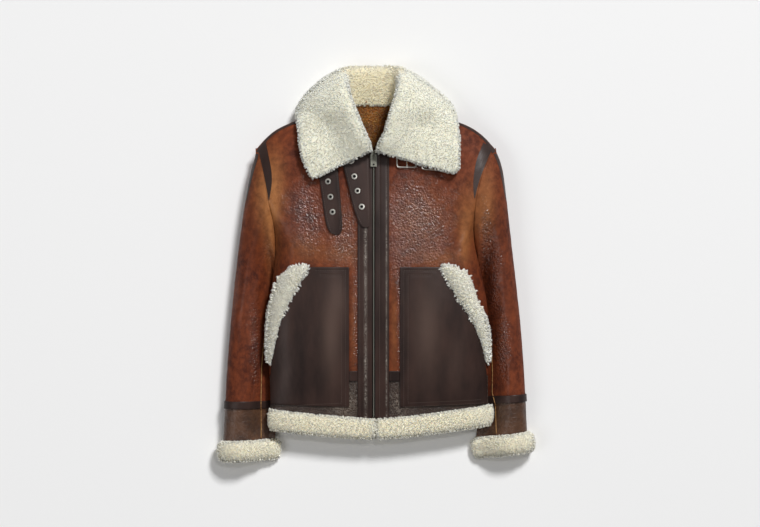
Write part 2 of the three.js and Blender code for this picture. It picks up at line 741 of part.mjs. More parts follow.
function pocketFur(sign) {
  const table = POCKET[wordOf(sign)];
  const sections = POCKET_FUR_ROWS.map((y) => {
    const from = read(table, "y", y, "outer") + sign * 1.2;
    const width = read(POCKET_FUR, "y", y, "width");
    const climb = fade(-70, -8, y) * width * 0.32;
    const limit = Math.abs(sideX(sign, y)) - FUR_CLEAR;
    const to = sign * Math.min(Math.abs(from) + width, limit);
    const high = read(POCKET_FUR, "y", y, "high");
    const across = steps(6).map((share) => ({
      x: lerp(from, to, share),
      y: y + climb * share,
      high: lerp(FUR_EDGE, high, Math.sin(share * Math.PI) ** 0.6),
    }));
    const under = across.map((at) => onFront(at.x, at.y, FUR_LIFT));
    const over = across.map((at) => onFront(at.x, at.y, FUR_LIFT + at.high)).reverse();
    return [...under, ...over];
  });
  return loft(sections);
}

// Straight strips over the fronts: a table of their two edges down the jacket.
function strip(rows, columns, thickness, lift) {
  const grid = rows.map((row) => steps(columns).map((u) => ({ x: lerp(row.from, row.to, u), y: row.y })));
  return laid(grid, thickness, lift);
}

const PLACKET = { right: { from: -32.7, to: -5.6 }, left: { from: 0.2, to: 26.2 } };
const PLACKET_TOP = 206;
const PLACKET_END = -291.5;
const PLACKET_ROWS = 17;

function placket(sign) {
  const edges = PLACKET[wordOf(sign)];
  const rows = steps(PLACKET_ROWS).map((u) => ({ ...edges, y: lerp(PLACKET_END, PLACKET_TOP, u) }));
  return strip(rows, 2, TRIM, LAID);
}

const WAIST_TAPE_HALF = 9.5;
const WAIST_TAPE_LIFT = 1.3; // under the back, where the panel's curve is tightest
function waistTapeFront(sign) {
  const inner = PLACKET[wordOf(sign)][sign < 0 ? "from" : "to"] + sign * SEAM * 2;
  const outer = (sign < 0 ? -48.8 : 46.7) - sign * SEAM * 2;
  const rows = [-1, -0.35, 0.35, 1].map((u) => ({ from: inner, to: outer, y: WAIST_Y + u * WAIST_TAPE_HALF }));
  return strip(rows, 3, TRIM, LAID);
}

function waistTapeBack() {
  const shares = bothWays([0, 0.2, 0.4, 0.6, 0.75, 0.86, 0.93]);
  const grid = [-1, -0.35, 0.35, 1].map((u) =>
    shares.map((out) => ({
      x: lerp(ZIP_X, sideX(Math.sign(out), WAIST_Y), Math.abs(out)),
      y: WAIST_Y + u * WAIST_TAPE_HALF,
    })),
  );
  return laid(grid, TRIM, WAIST_TAPE_LIFT, onBack);
}

// Tapes over the shoulder and armhole seams of the body.
const BODY_TAPE = 8.5;
function shoulderTape(sign) {
  const outs = [sign < 0 ? 152 : 158, 163, 171, 180, 190, 200, 210, 217];
  const grid = outs.map((out) => {
    const x = (sign * out * Math.abs(sideX(sign, SHOULDER_Y))) / 224;
    const y = shoulderY(sign, x);
    return [1, 3.2, 5.8, BODY_TAPE].map((inward) => ({ x: x - sign * inward * 0.5, y: y - inward * 0.87 }));
  });
  return laid(grid, TRIM);
}

function armholeTape(sign) {
  const grid = steps(10).map((u) => {
    const y = lerp(205, 122, u);
    return [1, 3.5, 6, BODY_TAPE].map((inward) => ({ x: sideX(sign, y) - sign * inward, y }));
  });
  return laid(grid, TRIM);
}

// A tape down the outer side of each sleeve head.
function sleeveTape(sign) {
  const shares = [0.035, 0.07, 0.11, 0.15];
  const indexes = [0.35, 0.7, 1.1, 1.5, 1.9, 2.3, 2.7];
  const outer = indexes.map((i) => shares.map((share) => onSleeve(sign, i, share, LAID + TRIM)));
  const inner = indexes.map((i) => shares.map((share) => onSleeve(sign, i, share, LAID)));
  return wall(outer, inner);
}

// Rings that stand off a tube of rings.
function offsetRings(rings, lift) {
  const normals = ringNormals(rings);
  const middle = rings[1].reduce((sum, p) => sum.add(p), new THREE.Vector3()).divideScalar(rings[1].length);
  const outward = normals[1][3].dot(rings[1][3].clone().sub(middle)) > 0 ? 1 : -1;
  return rings.map((ring, i) =>
    ring.map((point, j) => point.clone().addScaledVector(normals[i][j], outward * lift)),
  );
}

const CUFF_TAPE_LIFT = 0.9;
const CUFF_TAPE_ROWS = [-0.17, -0.05, 0.05, 0.17];
function cuffTape(sign) {
  const rings = CUFF_TAPE_ROWS.map((i) => sleeveRing(sign, CUFF_SEAM + i));
  return wall(offsetRings(rings, CUFF_TAPE_LIFT + TRIM), offsetRings(rings, CUFF_TAPE_LIFT), true);
}

// Cuff rolls: past the end of the leather, standing out from it all round and resting flat on the surface.
const CUFF_FUR = [
  { past: 1.2, out: 3.5, in: 4 },
  { past: 4, out: 9, in: 5 },
  { past: 13, out: 12, in: 5.5 },
  { past: 25, out: 12, in: 5.5 },
  { past: 33, out: 9, in: 5 },
  { past: 38, out: 3, in: 2 },
];
function cuffFur(sign) {
  const end = SLEEVE.right.length - 1;
  const ring = sleeveRing(sign, end);
  const across = ring[0].clone().sub(ring[ARMHOLE_STEPS - 1]).setZ(0).normalize();
  const along = new THREE.Vector3(across.y, -across.x, 0);
  if (along.y > 0) along.negate();
  const middle = ring.reduce((sum, p) => sum.add(p), new THREE.Vector3()).divideScalar(ring.length);
  const outwards = ring.map((point, j) => {
    const before = ring[(j + ring.length - 1) % ring.length];
    const after = ring[(j + 1) % ring.length];
    const out = after.clone().sub(before).cross(along).normalize();
    return out.dot(point.clone().sub(middle)) > 0 ? out : out.negate();
  });
  const rowAt = (past, lifts) =>
    ring.map((point, j) => {
      const moved = point.clone().addScaledVector(along, past).addScaledVector(outwards[j], lifts[j]);
      moved.z = Math.max(moved.z, 0);
      return moved;
    });
  const outer = CUFF_FUR.map((row) => rowAt(row.past, ring.map(() => row.out)));
  const inner = CUFF_FUR.map((row) => rowAt(row.past, wallDepths(ring, row.in).map((depth) => -depth)));
  return wall(outer, inner, true);
}

// Hem rolls: sections in the Y-Z plane along the hem, flat below where the back rests.
const HEM_FUR_LONG = 38;
const HEM_FUR_SECTION = [
  { through: 0.1, past: 0 },
  { through: 0.8, past: 0 },
  { through: 1, past: 0.14 },
  { through: 1, past: 0.76 },
  { through: 0.78, past: 0.95 },
  { through: 0.4, past: 1 },
  { through: 0.08, past: 0.95 },
  { through: 0, past: 0.76 },
  { through: 0, past: 0.14 },
];
const HEM_FUR_COLUMNS = 11;
const SPLIT_X = 1.5; // the rolls of the two fronts meet here
const HEM_SEAM = 0.4;
const FUR_AT_CORNER = 0.25; // share of the roll's depth left below the hem where the cuffs pass under it

function hemFurSection(sign, out, inset, height, up) {
  const word = wordOf(sign);
  const y = hemY(sign, out);
  const edge = sideX(sign, HEM_SIDE[word]);
  const x = lerp(inset, edge, out);
  const surface = new THREE.Vector3(x, y, height(x, y));
  const normal = normalOf(height, x, y, up, ZIP_X, y).setY(0).normalize();
  if (up < 0) normal.z *= lerp(1, FUR_AT_CORNER, fade(0.7, 0.88, out));
  if (out === 1) normal.set(sign, 0, 0);
  const outer = surface.clone().addScaledVector(normal, FUR_PROUD);
  const inner = surface.clone().addScaledVector(normal, FUR_PROUD - FUR_ROLL);
  const seam = read(HEIGHT, "y", HEM_MIDDLE, "side") + up * HEM_SEAM;
  for (const point of [outer, inner]) point.z = up > 0 ? Math.max(point.z, seam) : Math.min(point.z, seam);
  outer.z = Math.max(outer.z, 0);
  return HEM_FUR_SECTION.map((at) => {
    const point = inner.clone().lerp(outer, at.through);
    point.y = y - SEAM * 2 - at.past * HEM_FUR_LONG;
    return point;
  });
}

function hemFurFront(sign) {
  const inset = SPLIT_X + sign * 0.6;
  return loft(steps(HEM_FUR_COLUMNS, toSide).map((out) => hemFurSection(sign, out, inset, frontZ, 1)));
}

function hemFurBack() {
  const outs = bothWays(steps(HEM_FUR_COLUMNS, toSide));
  return loft(
    outs.map((out) => hemFurSection(out < 0 ? WEARER_RIGHT : WEARER_LEFT, Math.abs(out), ZIP_X, backZ, -1)),
  );
}

// Pile lining of the back, which shows inside the neck.
const LINING = 4;
const LINING_LIFT = 2.8;
const LINING_ROWS = [206, 220, 234, 250, 266, 281];
function backLining() {
  const grid = LINING_ROWS.map((y) =>
    steps(8).map((u) => ({ x: lerp(-46, 41, u), y: y + 2 * Math.cos((u - 0.5) * Math.PI) })),
  );
  const inside = (x, y, lift) => onBack(x, y, -LEATHER - lift);
  return laid(grid, LINING, LINING_LIFT, inside);
}

// Collar: the middle surface of its wall, in stations from the zip to the middle of the back. seam is the neck
// seam, fold the crest of the fold, turn where it leaves the view, edge its free edge, as [x, y, z] or
// [x, y] for points that lie on the fronts.
const COLLAR = {
  right: [
    { seam: [-6, 214, 73], fold: [-10, 217, 93], fall: [-58, 187], turn: [-84, 172], edge: [-118, 156] },
    { seam: [-14, 221, 72], fold: [-15.5, 234, 98], fall: [-70, 206], turn: [-100, 192], edge: [-132, 183] },
    { seam: [-33, 237, 70], fold: [-22, 249, 98], fall: [-76, 228], turn: [-108, 218], edge: [-140, 212] },
    { seam: [-48, 256, 66], fold: [-35, 274, 95], fall: [-84, 258], turn: [-114, 248], edge: [-143, 242] },
    { seam: [-56, 278, 62], fold: [-46.5, 297, 86], fall: [-92, 284, 74], turn: [-120, 278, 61], edge: [-147, 272, 47] },
    { seam: [-60, 297, 53], fold: [-55, 323, 77], fall: [-100, 312, 64], turn: [-140, 298, 31], edge: [-147, 281, 15] },
    { seam: [-57, 300.5, 36.5], fold: [-60, 347, 60], fall: [-88, 341, 46], turn: [-115, 327, 19], edge: [-112, 262, 7] },
    { seam: [-45, 299.5, 26], fold: [-55, 362, 40], fall: [-72, 357, 26], turn: [-84, 344, 10], edge: [-80, 257, 7] },
    { seam: [-30, 298.6, 21.8], fold: [-36, 365.5, 22], fall: [-44, 345, 7.5], turn: [-47, 310, 7], edge: [-46, 256, 7] },
  ],
  left: [
    { seam: [1.2, 214, 73], fold: [5, 217, 93], fall: [62, 192], turn: [98, 180], edge: [140, 170] },
    { seam: [9, 221, 72], fold: [13, 234, 98], fall: [70, 210], turn: [108, 199], edge: [152, 190] },
    { seam: [27, 237, 70], fold: [21, 249, 98], fall: [78, 231], turn: [115, 222], edge: [155, 216] },
    { seam: [42, 256, 66], fold: [30, 274, 95], fall: [84, 260], turn: [118, 250], edge: [154, 246] },
    { seam: [51, 278, 62], fold: [38.5, 297, 86], fall: [92, 284, 74], turn: [122, 279, 61], edge: [152, 275, 46] },
    { seam: [54.5, 297, 53], fold: [46, 323, 77], fall: [96, 312, 64], turn: [139, 300, 31], edge: [146, 283, 15] },
    { seam: [51, 300.5, 36.5], fold: [50, 347, 60], fall: [80, 341, 46], turn: [105, 326, 19], edge: [108, 262, 7] },
    { seam: [39, 299.5, 26], fold: [44, 362, 40], fall: [60, 358, 26], turn: [76, 346, 10], edge: [74, 257, 7] },
    { seam: [24, 298.6, 21.8], fold: [26, 365.5, 22], fall: [32, 345, 7.5], turn: [37, 310, 7], edge: [38, 256, 7] },
  ],
};
const COLLAR_BACK = {
  seam: [ZIP_X, 297.9, 21],
  fold: [ZIP_X, 366, 15.5],
  fall: [ZIP_X, 340, 6.8],
  turn: [ZIP_X, 305, 6.8],
  edge: [ZIP_X, 255, 7],
};
const COLLAR_LIFT = 15.5; // middle of the collar's wall above the fronts it lies on
const FOLD_RADIUS = 8.7;
const COLLAR_SPANS = [3, 2, 2, 2, 3, 2, 2]; // grid steps between the points of a station
const STATION_STEPS = 2;

function collarPoint([x, y, z]) {
  return new THREE.Vector3(x, y, z === undefined ? frontZ(x, y) + COLLAR_LIFT : z);
}

// The eight points of a station: seam, three round the fold, fall, turn, one between, and edge.
function collarStation(station) {
  const [seam, fold, fall, turn, edge] = ["seam", "fold", "fall", "turn", "edge"].map((k) => collarPoint(station[k]));
  const toSeam = seam.clone().sub(fold).normalize();
  const toFall = fall.clone().sub(fold).normalize();
  const crest = toSeam.clone().add(toFall).normalize().negate();
  const over = toFall.clone().sub(toSeam).normalize();
  const centre = fold.clone().addScaledVector(crest, -FOLD_RADIUS);
  const before = centre.clone().addScaledVector(over, -FOLD_RADIUS);
  const after = centre.clone().addScaledVector(over, FOLD_RADIUS);
  const between = turn.clone().lerp(edge, 0.5);
  if (station.edge.length === 2) between.z = frontZ(between.x, between.y) + COLLAR_LIFT;
  return [seam, before, fold, after, fall, turn, between, edge];
}

// A point on a smooth curve through points, with knots spaced by their distances.
function through(points, span, u) {
  const at = (i) => points[clamp(i, 0, points.length - 1)];
  const four = [at(span - 1), at(span), at(span + 1), at(span + 2)];
  if (span === 0) four[0] = four[1].clone().multiplyScalar(2).sub(four[2]);
  if (span + 2 > points.length - 1) four[3] = four[2].clone().multiplyScalar(2).sub(four[1]);
  const knots = [0];
  for (let i = 1; i < 4; i++) knots.push(knots[i - 1] + Math.max(Math.sqrt(four[i].distanceTo(four[i - 1])), 0.1));
  const t = lerp(knots[1], knots[2], u);
  const mix = (a, b, i, j) => a.clone().lerp(b, (t - knots[i]) / (knots[j] - knots[i]));
  const first = [mix(four[0], four[1], 0, 1), mix(four[1], four[2], 1, 2), mix(four[2], four[3], 2, 3)];
  const second = [mix(first[0], first[1], 0, 2), mix(first[1], first[2], 1, 3)];
  return mix(second[0], second[1], 1, 2);
}

function collarGrid() {
  const stations = [...COLLAR.right, COLLAR_BACK, ...[...COLLAR.left].reverse()].map(collarStation);
  const dense = [];
  for (let i = 0; i + 1 < stations.length; i++) {
    for (let k = 0; k < STATION_STEPS; k++) {
      dense.push(
        stations[0].map((_, j) =>
          through(
            stations.map((station) => station[j]),
            i,
            k / STATION_STEPS,
          ),
        ),
      );
    }
  }
  dense.push(stations.at(-1));
  return dense.map((station) => {
    const row = [];
    COLLAR_SPANS.forEach((count, span) => {
      for (let k = 0; k < count; k++) row.push(through(station, span, k / count));
    });
    return [...row, station.at(-1)];
  });
}

const EDGE_THIN = [0.5, 0.86]; // share of the full thickness at the first points in from a free edge

function gridNormals(grid) {
  return grid.map((row, i) =>
    row.map((_, j) => {
      const across = grid[Math.min(i + 1, grid.length - 1)][j].clone().sub(grid[Math.max(i - 1, 0)][j]);
      const along = row[Math.min(j + 1, row.length - 1)].clone().sub(row[Math.max(j - 1, 0)]);
      return across.cross(along).normalize();
    }),
  );
}

function collar() {
  const grid = collarGrid();
  const normals = gridNormals(grid);
  const thin = (fromEdge) => EDGE_THIN[fromEdge] ?? 1;
  const offset = (direction) =>
    grid.map((row, i) =>
      row.map((point, j) => {
        const edge = thin(row.length - 1 - j);
        const half = (COLLAR_WALL / 2) * Math.min(edge, thin(i), thin(grid.length - 1 - i));
        const moved = point.clone().addScaledVector(normals[i][j], direction * half);
        moved.z = Math.max(moved.z, 0);
        return moved;
      }),
    );
  return wall(offset(1), offset(-1));
}

// Throat straps of the wearer's right front, with their eyelets. Edges down the strap, and eyelet places.
const STRAPS = [
  {
    name: "strap_outer",
    lift: LAID + 0.2,
    rows: [
      { y: 53, from: -77, to: -67 },
      { y: 57, from: -84, to: -63 },
      { y: 64, from: -89, to: -61 },
      { y: 75, from: -92, to: -61 },
      { y: 99, from: -96, to: -63 },
      { y: 124, from: -99.5, to: -65 },
      { y: 148, from: -103, to: -67 },
      { y: 175, from: -107, to: -69.5 },
      { y: 203, from: -110, to: -72 },
    ],
    eyelets: [
      [-88, 152.6],
      [-83.4, 123.7],
      [-79.6, 95.4],
    ],
  },
  {
    name: "strap_inner",
    lift: 3.1,
    rows: [
      { y: 66.5, from: -22, to: -13 },
      { y: 70, from: -26.5, to: -9.5 },
      { y: 76, from: -31, to: -9 },
      { y: 90, from: -36, to: -9 },
      { y: 108, from: -42, to: -9.5 },
      { y: 128, from: -46.5, to: -10 },
      { y: 148, from: -51.5, to: -10.5 },
      { y: 179, from: -59.5, to: -11 },
      { y: 203, from: -66, to: -12 },
    ],
    eyelets: [
      [-45, 190],
      [-38.8, 161.7],
      [-32.7, 134.5],
      [-25, 105],
    ],
  },
];
const STRAP_COLUMNS = 4;
const EYELET_BARREL = 3.5;
const EYELET_BORE = 2.75;
const EYELET_FLANGE = 6;
const EYELET_CLEAR = 0.3;
const EYELET_STEPS = 9;

// Frame of axes on the fronts: across, up the jacket, and out of it.
function placement(x, y, lift, turn = 0) {
  const normal = onFront(x, y, 1).sub(onFront(x, y, 0)).normalize();
  const up = new THREE.Vector3(-Math.sin(turn), Math.cos(turn), 0);
  up.addScaledVector(normal, -up.dot(normal)).normalize();
  const across = up.clone().cross(normal).normalize();
  return new THREE.Matrix4().makeBasis(across, up, normal).setPosition(onFront(x, y, lift));
}

function solidOf(geometry, matrix = new THREE.Matrix4()) {
  const loose = geometry.index ? geometry.toNonIndexed() : geometry;
  const bare = new THREE.BufferGeometry();
  bare.setAttribute("position", loose.attributes.position.clone());
  bare.applyMatrix4(matrix);
  const merged = mergeVertices(bare, 1e-4);
  const kept = [];
  const index = merged.index.array;
  for (let i = 0; i < index.length; i += 3) {
    const [a, b, c] = [index[i], index[i + 1], index[i + 2]];
    if (a !== b && b !== c && c !== a) kept.push(a, b, c);
  }
  merged.setIndex(kept);
  const mesh = new wasm.Mesh({
    numProp: 3,
    vertProperties: merged.attributes.position.array,
    triVerts: new Uint32Array(kept),
  });
  const solid = new wasm.Manifold(mesh);
  return solid.volume() < 0 ? turned(merged) : solid;
}

function box(across, up, out, x, y, z) {
  return new THREE.BoxGeometry(across, up, out).translate(x, y, z);
}

// A cylinder along X, as wide as length.
function barAlongX(radius, length, y, z, sides = 14) {
  return new THREE.CylinderGeometry(radius, radius, length, sides).rotateZ(Math.PI / 2).translate(0, y, z);
}

function eyeletPlace(strap, [x, y]) {
  return placement(x, y, strap.lift + STRAP_LEATHER);
}

function strapSolid(strap) {
  let solid = strip(strap.rows, STRAP_COLUMNS, STRAP_LEATHER, strap.lift);
  for (const eyelet of strap.eyelets) {
    const bore = new THREE.CylinderGeometry(
      EYELET_BARREL + EYELET_CLEAR,
      EYELET_BARREL + EYELET_CLEAR,
      STRAP_LEATHER * 4,
      EYELET_STEPS,
    ).rotateX(Math.PI / 2);
    solid = solid.subtract(solidOf(bore, eyeletPlace(strap, eyelet)));
  }
  return solid;
}

function eyeletSolid(strap, eyelet) {
  const low = -STRAP_LEATHER - 0.2;
  const profile = [
    [EYELET_BORE, low],
    [EYELET_BARREL, low],
    [EYELET_BARREL, EYELET_CLEAR],
    [EYELET_FLANGE, EYELET_CLEAR],
    [EYELET_FLANGE - 0.7, EYELET_CLEAR + 0.9],
    [EYELET_BORE + 0.4, EYELET_CLEAR + 1],
    [EYELET_BORE, low],
  ];
  const turnedOnZ = new THREE.LatheGeometry(
    profile.map(([r, z]) => new THREE.Vector2(r, z)),
    EYELET_STEPS,
  ).rotateX(Math.PI / 2);
  return solidOf(turnedOnZ, eyeletPlace(strap, eyelet));
}

// Roller-less frame buckles of the wearer's left front, their hinged prongs, and the tabs that hold them.
const BUCKLES = [
  { x: 59.3, y: 192, turn: 0 },
  { x: 107, y: 187.5, turn: THREE.MathUtils.degToRad(-4) },
];
const FRAME_HALF = { across: 18.3, up: 13.3 };
const FRAME_CORNER = 5;
const FRAME_WIRE = 1.5;
const FRAME_LIFT = 3.5; // middle of the wire above the front
const HINGE_CLEAR = 0.3;
const PRONG_EYE = { inner: FRAME_WIRE + HINGE_CLEAR, outer: 2.75, wide: 2.6 };
const PRONG_RADIUS = 1.1;
const TAB = { half: 13, leather: 1.3, slot: 1.9, tail: 22, thick: 2.8 };

function framePath() {
  const corners = [
    [1, 1, 0],
    [-1, 1, 90],
    [-1, -1, 180],
    [1, -1, 270],
  ];
  return corners.flatMap(([across, up, from]) =>
    steps(3).map((u) => {
      const angle = THREE.MathUtils.degToRad(from + 90 * u);
      return new THREE.Vector3(
        across * (FRAME_HALF.across - FRAME_CORNER) + FRAME_CORNER * Math.cos(angle),
        up * (FRAME_HALF.up - FRAME_CORNER) + FRAME_CORNER * Math.sin(angle),
        0,
      );
    }),
  );
}

function buckleFrame(place) {
  const path = framePath();
  const out = new THREE.Vector3(0, 0, 1);
  const sections = path.map((point, i) => {
    const before = path[(i + path.length - 1) % path.length];
    const after = path[(i + 1) % path.length];
    const side = after.clone().sub(before).normalize().cross(out);
    return steps(7).map((u) => {
      const angle = (u * 7 * Math.PI) / 4;
      return point
        .clone()
        .addScaledVector(side, FRAME_WIRE * Math.cos(angle))
        .addScaledVector(out, FRAME_WIRE * Math.sin(angle))
        .applyMatrix4(place);
    });
  });
  return loft(sections, true);
}

function bucklePlace(buckle) {
  return placement(buckle.x, buckle.y, FRAME_LIFT, buckle.turn);
}

function prong(place) {
  const heel = FRAME_HALF.up;
  const eye = solidOf(barAlongX(PRONG_EYE.outer, PRONG_EYE.wide, heel, 0)).subtract(
    solidOf(barAlongX(PRONG_EYE.inner, PRONG_EYE.wide * 2, heel, 0)),
  );
  const from = new THREE.Vector3(0, heel - PRONG_EYE.inner - 0.4, PRONG_RADIUS * 0.6);
  const to = new THREE.Vector3(0, -heel - 2, FRAME_WIRE + HINGE_CLEAR + PRONG_RADIUS);
  const curve = new THREE.LineCurve3(from, to);
  const round = new THREE.Shape().absarc(0, 0, PRONG_RADIUS, 0, Math.PI * 2);
  const rod = new THREE.ExtrudeGeometry(round, { steps: 1, curveSegments: 4, extrudePath: curve });
  return eye.add(solidOf(rod)).transform(place.elements);
}

function buckleTab(place) {
  const heel = FRAME_HALF.up;
  const outer = PRONG_EYE.inner + TAB.leather;
  const loop = solidOf(barAlongX(outer, TAB.half * 2, heel, 0));
  const tail = solidOf(box(TAB.half * 2, TAB.tail, TAB.thick, 0, heel + TAB.tail / 2, TAB.thick / 2 - outer));
  const bore = solidOf(barAlongX(PRONG_EYE.inner, TAB.half * 3, heel, 0));
  const slot = solidOf(box(TAB.slot * 2, outer * 3, outer * 3, 0, heel, 0));
  return loop.add(tail).subtract(bore).subtract(slot).transform(place.elements);
}

// Zip: the closed chain, the slider under the collar, and its hinged pull.
const ZIP = { half: 2.3, low: -2.2, high: 2, end: -291, top: 196 };
const SLIDER = { y: 203.5, across: 8.8, long: 12, low: 2.6, high: 4.6 };
const ARCH = { wide: 2.4, reach: 4.4, wall: 1.5, shoulder: 2.4, top: 8, inside: 6.6 };
const PULL = { hinge: -1.2, level: 5.6, half: 5.8, long: 24, thick: 1.2, bar: 1.3, windowHalf: 2, window: 5.2, hole: 2 };

function zipChain() {
  const rows = steps(18).map((u) => ({ from: ZIP_X - ZIP.half, to: ZIP_X + ZIP.half, y: lerp(ZIP.end, ZIP.top, u) }));
  return strip(rows, 1, ZIP.high - ZIP.low, ZIP.low);
}

function extrudedAlongX(outline, wide) {
  const shape = new THREE.Shape(outline.map(([y, z]) => new THREE.Vector2(y, z)));
  const made = new THREE.ExtrudeGeometry(shape, { depth: wide, bevelEnabled: false });
  return made.applyMatrix4(new THREE.Matrix4().set(0, 0, 1, -wide / 2, 1, 0, 0, 0, 0, 1, 0, 0, 0, 0, 0, 1));
}

function zipSlider(place) {
  const body = solidOf(
    box(SLIDER.across, SLIDER.long, SLIDER.high - SLIDER.low, 0, 0, (SLIDER.high + SLIDER.low) / 2),
  );
  const inner = ARCH.reach - ARCH.wall;
  const outline = [
    [-ARCH.reach, SLIDER.high - 0.3],
    [-ARCH.reach, ARCH.top - 1.6],
    [-ARCH.shoulder, ARCH.top],
    [ARCH.shoulder, ARCH.top],
    [ARCH.reach, ARCH.top - 1.6],
    [ARCH.reach, SLIDER.high - 0.3],
    [inner, SLIDER.high - 0.3],
    [inner, ARCH.inside - 0.9],
    [ARCH.shoulder - 0.6, ARCH.inside],
    [0.6 - ARCH.shoulder, ARCH.inside],
    [-inner, ARCH.inside - 0.9],
    [-inner, SLIDER.high - 0.3],
  ];
  return body.add(solidOf(extrudedAlongX(outline, ARCH.wide))).transform(place.elements);
}

function zipPull(place) {
  const top = PULL.hinge + PULL.bar / 2;
  const plate = solidOf(box(PULL.half * 2, PULL.long, PULL.thick, 0, top - PULL.long / 2, PULL.level));
  const window = solidOf(
    box(PULL.windowHalf * 2, PULL.window, PULL.thick * 3, 0, top - PULL.bar - PULL.window / 2, PULL.level),
  );
  const hole = new THREE.CylinderGeometry(PULL.hole, PULL.hole, PULL.thick * 3, 16).rotateX(Math.PI / 2);
  const low = solidOf(hole.translate(0, top - PULL.long + PULL.hole * 2, PULL.level));
  return plate.subtract(window).subtract(low).transform(place.elements);
}

const MATERIAL = {
  brown: { color: 0x6a3420, roughness: 0.32, metalness: 0 },
  dark: { color: 0x3a2a27, roughness: 0.55, metalness: 0 },
  band: { color: 0x46332b, roughness: 0.4, metalness: 0 },
  fleece: { color: 0xe4dcc4, roughness: 0.95, metalness: 0 },
  pile: { color: 0x84500f, roughness: 0.9, metalness: 0 },
  metal: { color: 0xb9b6ae, roughness: 0.3, metalness: 1 },
  oldMetal: { color: 0x6d6c66, roughness: 0.45, metalness: 1 },
};

const jacket = new THREE.Group();

function add(name, solid, material) {
  const mesh = new THREE.Mesh(geometryOf(solid), new THREE.MeshStandardMaterial(MATERIAL[material]));
  mesh.name = name;
  jacket.add(mesh);
  return mesh;
}

// Notes where a hinged piece turns: a point on its axis, and the axis itself, about which it lifts.
function hinged(mesh, place, point) {
  mesh.userData.hinge = point.applyMatrix4(place);
  mesh.userData.axis = new THREE.Vector3(-1, 0, 0).transformDirection(place);
}

for (const { sign, word } of SIDES) {
  add(`front_${word}`, frontPanel(sign), "brown");
  add(`hem_band_${word}`, frontBand(sign), "band");
  add(`sleeve_${word}`, sleevePanel(sign), "brown");
  add(`cuff_band_${word}`, cuffBand(sign), "band");
  add(`pocket_${word}`, pocket(sign), "dark");
  add(`pocket_fur_${word}`, pocketFur(sign), "fleece");
  add(`placket_${word}`, placket(sign), "dark");
  add(`waist_tape_${word}`, waistTapeFront(sign), "dark");
  add(`shoulder_tape_${word}`, shoulderTape(sign), "dark");
  add(`armhole_tape_${word}`, armholeTape(sign), "dark");
  add(`sleeve_tape_${word}`, sleeveTape(sign), "dark");
  add(`cuff_tape_${word}`, cuffTape(sign), "dark");
  add(`cuff_fur_${word}`, cuffFur(sign), "fleece");
  add(`hem_fur_${word}`, hemFurFront(sign), "fleece");
}
add("back", backPanel(), "brown");
add("hem_band_back", backBand(), "band");
add("waist_tape_back", waistTapeBack(), "dark");
add("hem_fur_back", hemFurBack(), "fleece");
add("back_lining", backLining(), "pile");
add("collar", collar(), "fleece");
STRAPS.forEach((strap) => {
  add(strap.name, strapSolid(strap), "dark");
  strap.eyelets.forEach((eyelet, i) => add(`${strap.name}_eyelet_${i + 1}`, eyeletSolid(strap, eyelet), "oldMetal"));
});
BUCKLES.forEach((buckle, i) => {
  const place = bucklePlace(buckle);
  add(`buckle_frame_${i + 1}`, buckleFrame(place), "metal");
  hinged(add(`buckle_prong_${i + 1}`, prong(place), "metal"), place, new THREE.Vector3(0, FRAME_HALF.up, 0));
  add(`buckle_tab_${i + 1}`, buckleTab(place), "brown");
});
const sliderPlace = placement(ZIP_X, SLIDER.y, 0);
add("zip_chain", zipChain(), "oldMetal");
add("zip_slider", zipSlider(sliderPlace), "oldMetal");
const pull = add("zip_pull", zipPull(sliderPlace), "oldMetal");
hinged(pull, sliderPlace, new THREE.Vector3(0, PULL.hinge, PULL.level));

// Middle of the jacket's box at X = Y = 0, and its lowest point at Z = 0.
const bounds = new THREE.Box3().setFromObject(jacket);
const middle = bounds.getCenter(new THREE.Vector3()).setZ(bounds.min.z).negate();
for (const mesh of jacket.children) {
  mesh.geometry.translate(middle.x, middle.y, middle.z);
  if (mesh.userData.hinge) mesh.userData.hinge.add(middle);
}

export default jacket;
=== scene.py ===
# A leather aviator jacket with a shearling collar, hem, cuffs and pocket trims, zipped and lying on its back.
import math
import random

import bmesh
import bpy
from mathutils import Matrix, Vector, noise
from mathutils.bvhtree import BVHTree


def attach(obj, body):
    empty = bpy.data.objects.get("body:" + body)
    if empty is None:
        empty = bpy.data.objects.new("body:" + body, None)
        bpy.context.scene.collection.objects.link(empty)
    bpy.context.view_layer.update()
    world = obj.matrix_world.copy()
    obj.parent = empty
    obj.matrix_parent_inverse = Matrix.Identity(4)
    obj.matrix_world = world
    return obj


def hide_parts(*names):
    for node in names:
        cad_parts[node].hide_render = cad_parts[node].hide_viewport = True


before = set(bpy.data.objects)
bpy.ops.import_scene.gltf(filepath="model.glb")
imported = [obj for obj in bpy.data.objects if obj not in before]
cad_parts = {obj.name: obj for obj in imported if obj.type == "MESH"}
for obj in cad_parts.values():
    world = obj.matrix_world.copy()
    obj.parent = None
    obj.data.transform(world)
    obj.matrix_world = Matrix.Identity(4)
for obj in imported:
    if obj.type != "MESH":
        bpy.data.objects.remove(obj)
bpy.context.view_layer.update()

# The studio: a pale painted floor, one broad lamp beyond the collar and to its right, a weak one from the
# left, a small one overhead for glints in the leather, and even light from all round.
# The camera looks straight down from five metres, as the photograph does.
MM = 0.001
FLOOR_COLOUR = "#f1f1f1"
FLOOR_HALF = 4.0
CAMERA_HEIGHT = 5.0
CAMERA_OVER = (0.0074, 0.0004)
FRAME_WIDTH = 1.444  # metres of floor across the picture


def to_linear(colour):
    """A hex colour as linear light, with full opacity."""
    channels = [int(colour[i : i + 2], 16) / 255 for i in (1, 3, 5)]
    return [c / 12.92 if c <= 0.04045 else ((c + 0.055) / 1.055) ** 2.4 for c in channels] + [1.0]


